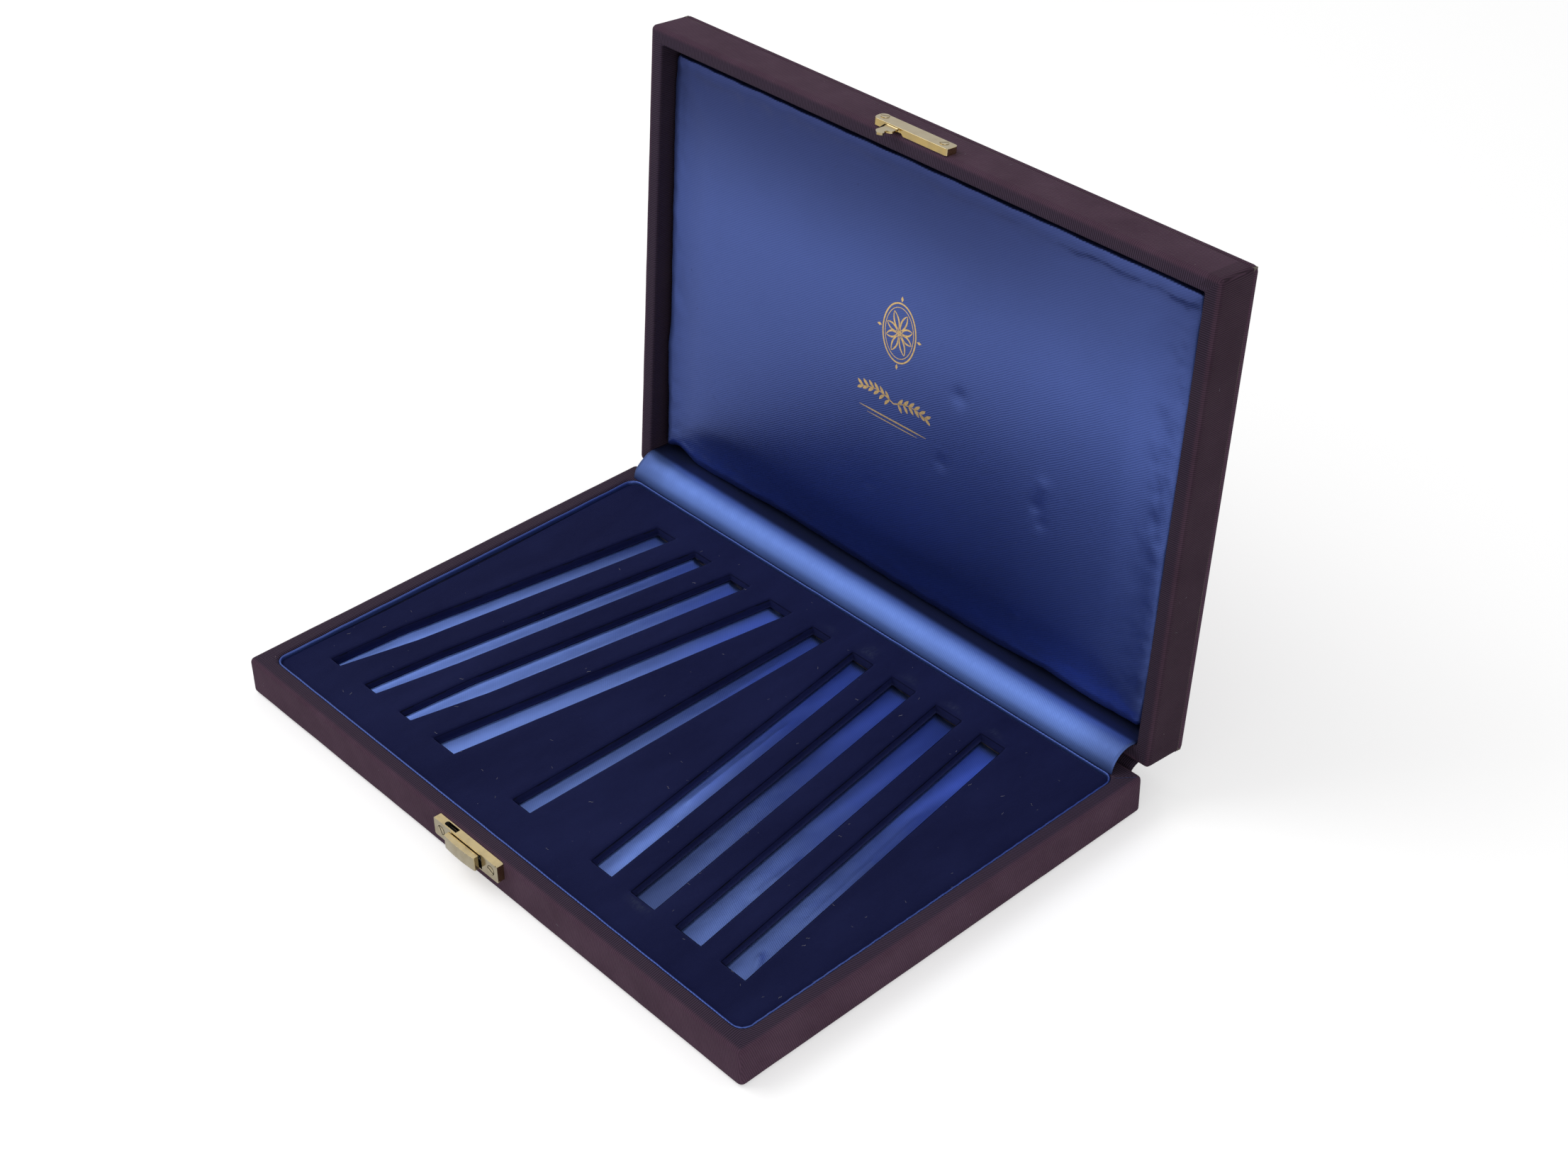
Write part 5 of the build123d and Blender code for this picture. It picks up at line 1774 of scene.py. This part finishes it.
def foilOrnament():
    # every stroke lies on the satin as a thin closed ribbon
    tree = surfaceTree(padPiece)
    down = Vector(swingOpen((0, 0, 1))) - Vector(swingOpen((0, 0, 0)))

    def onPad(x, u):
        start = Vector(swingOpen(padToShut(x, u, -6.0))) * mm
        hit = tree.ray_cast(start, down)
        return hit[0] / mm

    points, faces = [], []
    for line, widths in foilStrokes():
        base = len(points)
        for k, (x, u) in enumerate(line):
            before, after = line[max(k - 1, 0)], line[min(k + 1, len(line) - 1)]
            dx, du = after[0] - before[0], after[1] - before[1]
            size = math.hypot(dx, du)
            nx, nu = -du / size, dx / size
            for side in (-1, 1):
                spot = onPad(x + side * nx * widths[k] / 2, u + side * nu * widths[k] / 2)
                points.append(tuple(spot - down * foil["lift"]))
                points.append(tuple(spot - down * (foil["lift"] - foil["thickness"])))
        for k in range(len(line) - 1):
            a, b = base + 4 * k, base + 4 * (k + 1)
            faces += [(a, b, b + 2, a + 2), (a + 1, a + 3, b + 3, b + 1), (a, a + 1, b + 1, b),
                      (a + 2, b + 2, b + 3, a + 3)]
        last = base + 4 * (len(line) - 1)
        faces += [(base, base + 2, base + 3, base + 1), (last, last + 1, last + 3, last + 2)]
    piece = outwardFaces(makePiece("lid_foil_ornament", points, faces, foilMat, merge=0.0, smooth=False))
    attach(piece, "lid")
    return piece


foilPiece = foilOrnament()
print("foil pressed", len(foilPiece.data.polygons), "faces")


# Lint: short curled fibres that lie on the cloth

lint = {"velvet": (2300.0, 0.0011, 3), "pad": (650.0, 0.0009, 11), "lidCloth": (900.0, 0.0009, 17),
        "baseCloth": (900.0, 0.0009, 29)}


def randomFloat(tree, low, high, seed):
    node = add(tree, "FunctionNodeRandomValue", {"Seed": seed}, data_type="FLOAT")
    floats = [socket for socket in node.inputs if socket.enabled and socket.type == "VALUE"]
    floats[0].default_value, floats[1].default_value = low, high
    return [socket for socket in node.outputs if socket.enabled][0]


def fibreTree():
    # curled hairs on the faces that look one way, each with its own length and turn
    tree, given, end = newGroup("scatteredFibres", (
        ("Geometry", "Geometry", None), ("Density", "Float", 1000.0), ("Fibre Length", "Float", 0.001),
        ("Facing", "Vector", (0, 0, 1)), ("Seed", "Int", 1), ("Finish", "Material", None)),
        (("Geometry", "Geometry"),), "GeometryNodeTree")
    normal = add(tree, "GeometryNodeInputNormal").outputs["Normal"]
    facing = add(tree, "ShaderNodeVectorMath", {0: normal, 1: given["Facing"]}, operation="DOT_PRODUCT")
    near = calc(tree, "GREATER_THAN", facing.outputs["Value"], 0.8)
    spots = add(tree, "GeometryNodeDistributePointsOnFaces", {
        "Mesh": given["Geometry"], "Selection": near, "Density": given["Density"], "Seed": given["Seed"]})
    curl = add(tree, "GeometryNodeCurvePrimitiveBezierSegment", {
        "Resolution": 5, "Start": (-0.5, 0.0, 0.03), "Start Handle": (-0.1, 0.55, 0.03),
        "End Handle": (0.25, -0.45, 0.03), "End": (0.5, 0.15, 0.03)}, mode="POSITION")
    rim = add(tree, "GeometryNodeCurvePrimitiveCircle", {"Resolution": 3, "Radius": 0.034})
    hair = add(tree, "GeometryNodeCurveToMesh", {"Curve": curl.outputs["Curve"],
                                                 "Profile Curve": rim.outputs["Curve"], "Fill Caps": True})
    size = times(tree, randomFloat(tree, 0.25, 1.6, given["Seed"]), given["Fibre Length"])
    spread = add(tree, "GeometryNodeInstanceOnPoints", {
        "Points": spots.outputs["Points"], "Instance": hair.outputs["Mesh"],
        "Rotation": spots.outputs["Rotation"], "Scale": size})
    about = add(tree, "ShaderNodeCombineXYZ", {"Z": randomFloat(tree, 0.0, 6.283, given["Seed"])})
    turned = add(tree, "GeometryNodeRotateInstances", {
        "Instances": spread.outputs["Instances"], "Rotation": about.outputs["Vector"], "Local Space": True})
    finished(tree, turned.outputs["Instances"], given["Finish"], end)
    return tree


fibreNodes = fibreTree()


def lintOn(surface, name, body, settings, facing, material):
    density, length, seed = settings
    piece = inScene(name, surface.data.copy())
    nodesApplied(piece, fibreNodes, {"Density": density, "Fibre Length": length, "Facing": facing,
                                     "Seed": seed, "Finish": material})
    for label in ("clothRun", "paintedShade", "scuff"):
        if label in piece.data.attributes:
            piece.data.attributes.remove(piece.data.attributes[label])
    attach(piece, body)
    print(name, len(piece.data.polygons), "faces")


lintOn(velvetPiece, "velvet_lint", "base", lint["velvet"], (0.0, 0.0, 1.0), lintMat)
lintOn(padPiece, "pad_lint", "lid", lint["pad"], (0.0, -1.0, 0.08), darkLintMat)
lintOn(baseClothPiece, "base_cloth_lint", "base", lint["baseCloth"], (0.9, -0.9, 0.0), lintMat)
lintOn(lidClothPiece, "lid_cloth_lint", "lid", lint["lidCloth"], (0.9, 0.0, 0.9), lintMat)


# A loose blue thread across the rear right corner of the rim

looseThread = {"radius": 0.07, "path": ((152.7, 100.6, 18.22), (154.3, 101.9, 18.24), (155.6, 103.8, 18.22),
                                        (157.2, 105.4, 18.22), (158.3, 107.3, 18.16))}


def blueThread():
    path, sides, count = looseThread["path"], 6, 25
    tables = [[(i, spot[axis]) for i, spot in enumerate(path)] for axis in range(3)]
    spots = []
    for k in range(count):
        t = k / (count - 1) * (len(path) - 1)
        spots.append(Vector([smoothAlong(table, t) for table in tables]))
    points = []
    for k, spot in enumerate(spots):
        way = (spots[min(k + 1, count - 1)] - spots[max(k - 1, 0)]).normalized()
        across = way.cross(Vector((0, 0, 1))).normalized()
        up = across.cross(way)
        for j in range(sides):
            a = 2 * math.pi * j / sides
            points.append(tuple(spot + looseThread["radius"] * (across * math.cos(a) + up * math.sin(a))))
    faces = grid(count, sides, True)
    last = (count - 1) * sides
    faces += [tuple(range(sides)), tuple(reversed(range(last, last + sides)))]
    piece = outwardFaces(makePiece("loose_thread", points, faces, threadMat, merge=0.0))
    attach(piece, "base")


blueThread()
print("lint and thread laid")


# Finishes of the solids that stay

def finishNode(name, material):
    piece = nodes[name]
    piece.data.materials.clear()
    piece.data.materials.append(material)


for name in nodes:
    if name == "tray_rear_rail":
        finishNode(name, smudgedWallMat)
    elif name.startswith(("tray_spacer", "tray_front_rail")):
        finishNode(name, slotWallMat)
    elif name in ("tray_bed", "base_floor_board", "lid_top_board", "lid_pad_board"):
        finishNode(name, cardMat)
    elif name.endswith("_wall"):
        finishNode(name, timberMat)
    elif name.startswith(("hinge_base_screws", "hinge_lid", "hinge_pin")):
        finishNode(name, steelMat)
print("solids finished")


# Floor, light and camera

studio = {"floor": (0.92, 0.92, 0.92), "worldLight": 0.46, "keyPower": 9.0, "fillPower": 1.2,
          "sidePower": 1.15, "cameraGlow": 0.45, "mirrorGlow": 0.20}


def notCamera(path):
    # rays that reach the background by way of metal or glass
    return calc(path.id_data, "MAXIMUM", path.outputs["Is Glossy Ray"], path.outputs["Is Transmission Ray"])


def studioFloor():
    mesh = bpy.data.meshes.new("studio_floor")
    half, low = 4, -0.0002
    mesh.from_pydata([(-half, -half, low), (half, -half, low), (half, half, low), (-half, half, low)], [],
                     [(0, 1, 2, 3)])
    material, tree, shader = newMaterial("pale floor")
    feed(tree, shader, {"Base Color": (*studio["floor"], 1.0), "Roughness": 0.9, "Specular IOR Level": 0.0})
    path = add(tree, "ShaderNodeLightPath")
    seen = plus(tree, times(tree, path.outputs["Is Camera Ray"], studio["cameraGlow"]),
                times(tree, notCamera(path), studio["mirrorGlow"]))
    glow = add(tree, "ShaderNodeEmission", {"Color": (1, 1, 1, 1), "Strength": seen})
    both = add(tree, "ShaderNodeAddShader", {0: shader.outputs[0], 1: glow.outputs[0]})
    feed(tree, tree.nodes["Material Output"], {"Surface": both.outputs[0]})
    mesh.materials.append(material)
    floor = inScene("studio_floor", mesh)


def studioWorld():
    world = bpy.data.worlds.new("studio")
    bpy.context.scene.world = world
    world.use_nodes = True
    tree = world.node_tree
    path = add(tree, "ShaderNodeLightPath")
    seen = calc(tree, "MAXIMUM", path.outputs["Is Camera Ray"], notCamera(path))
    lift = times(tree, seen, 1.0 - studio["worldLight"])
    feed(tree, tree.nodes["Background"], {"Color": (1, 1, 1, 1),
                                          "Strength": plus(tree, lift, studio["worldLight"])})


def areaLamp(name, place, aim, size, power):
    lamp = bpy.data.lights.new(name, "AREA")
    lamp.shape = "RECTANGLE"
    lamp.size, lamp.size_y = size
    lamp.energy = power
    holder = inScene(name, lamp)
    holder.location = place
    holder.rotation_euler = (Vector(place) - Vector(aim)).to_track_quat("Z", "Y").to_euler()


view = {"azimuth": 47.8237, "elevation": 34.505, "roll": -1.1211, "place": (0.6499, -0.5222, 0.6939),
        "lens": 58.50, "shift": (-0.0064, -0.0503)}


def cameraFrame():
    a, e, r = (math.radians(view[k]) for k in ("azimuth", "elevation", "roll"))
    back = Vector((math.sin(a) * math.cos(e), -math.cos(a) * math.cos(e), math.sin(e)))
    right = Vector((math.cos(a), math.sin(a), 0.0))
    up = back.cross(right)
    turnedRight = right * math.cos(r) + up * math.sin(r)
    turnedUp = -right * math.sin(r) + up * math.cos(r)
    lens = bpy.data.cameras.new("photo_view")
    lens.lens = view["lens"]
    lens.sensor_width = 36.0
    lens.shift_x, lens.shift_y = view["shift"]
    lens.clip_start, lens.clip_end = 0.02, 20.0
    camera = inScene("photo_view", lens)
    rows = Matrix((turnedRight, turnedUp, back)).transposed().to_4x4()
    camera.matrix_world = Matrix.Translation(view["place"]) @ rows
    bpy.context.scene.camera = camera


studioFloor()
studioWorld()
areaLamp("key", (-0.9, -0.6, 1.5), (0, 0, 0.05), (1.2, 1.0), studio["keyPower"])
areaLamp("fill", (1.3, -1.0, 0.9), (0, 0, 0.05), (1.2, 1.0), studio["fillPower"])
areaLamp("side", (0.85, -0.38, 0.30), (0.1, -0.05, 0.02), (0.5, 0.4), studio["sidePower"])
cameraFrame()
bpy.context.scene.view_settings.view_transform = "Standard"
print("studio ready")
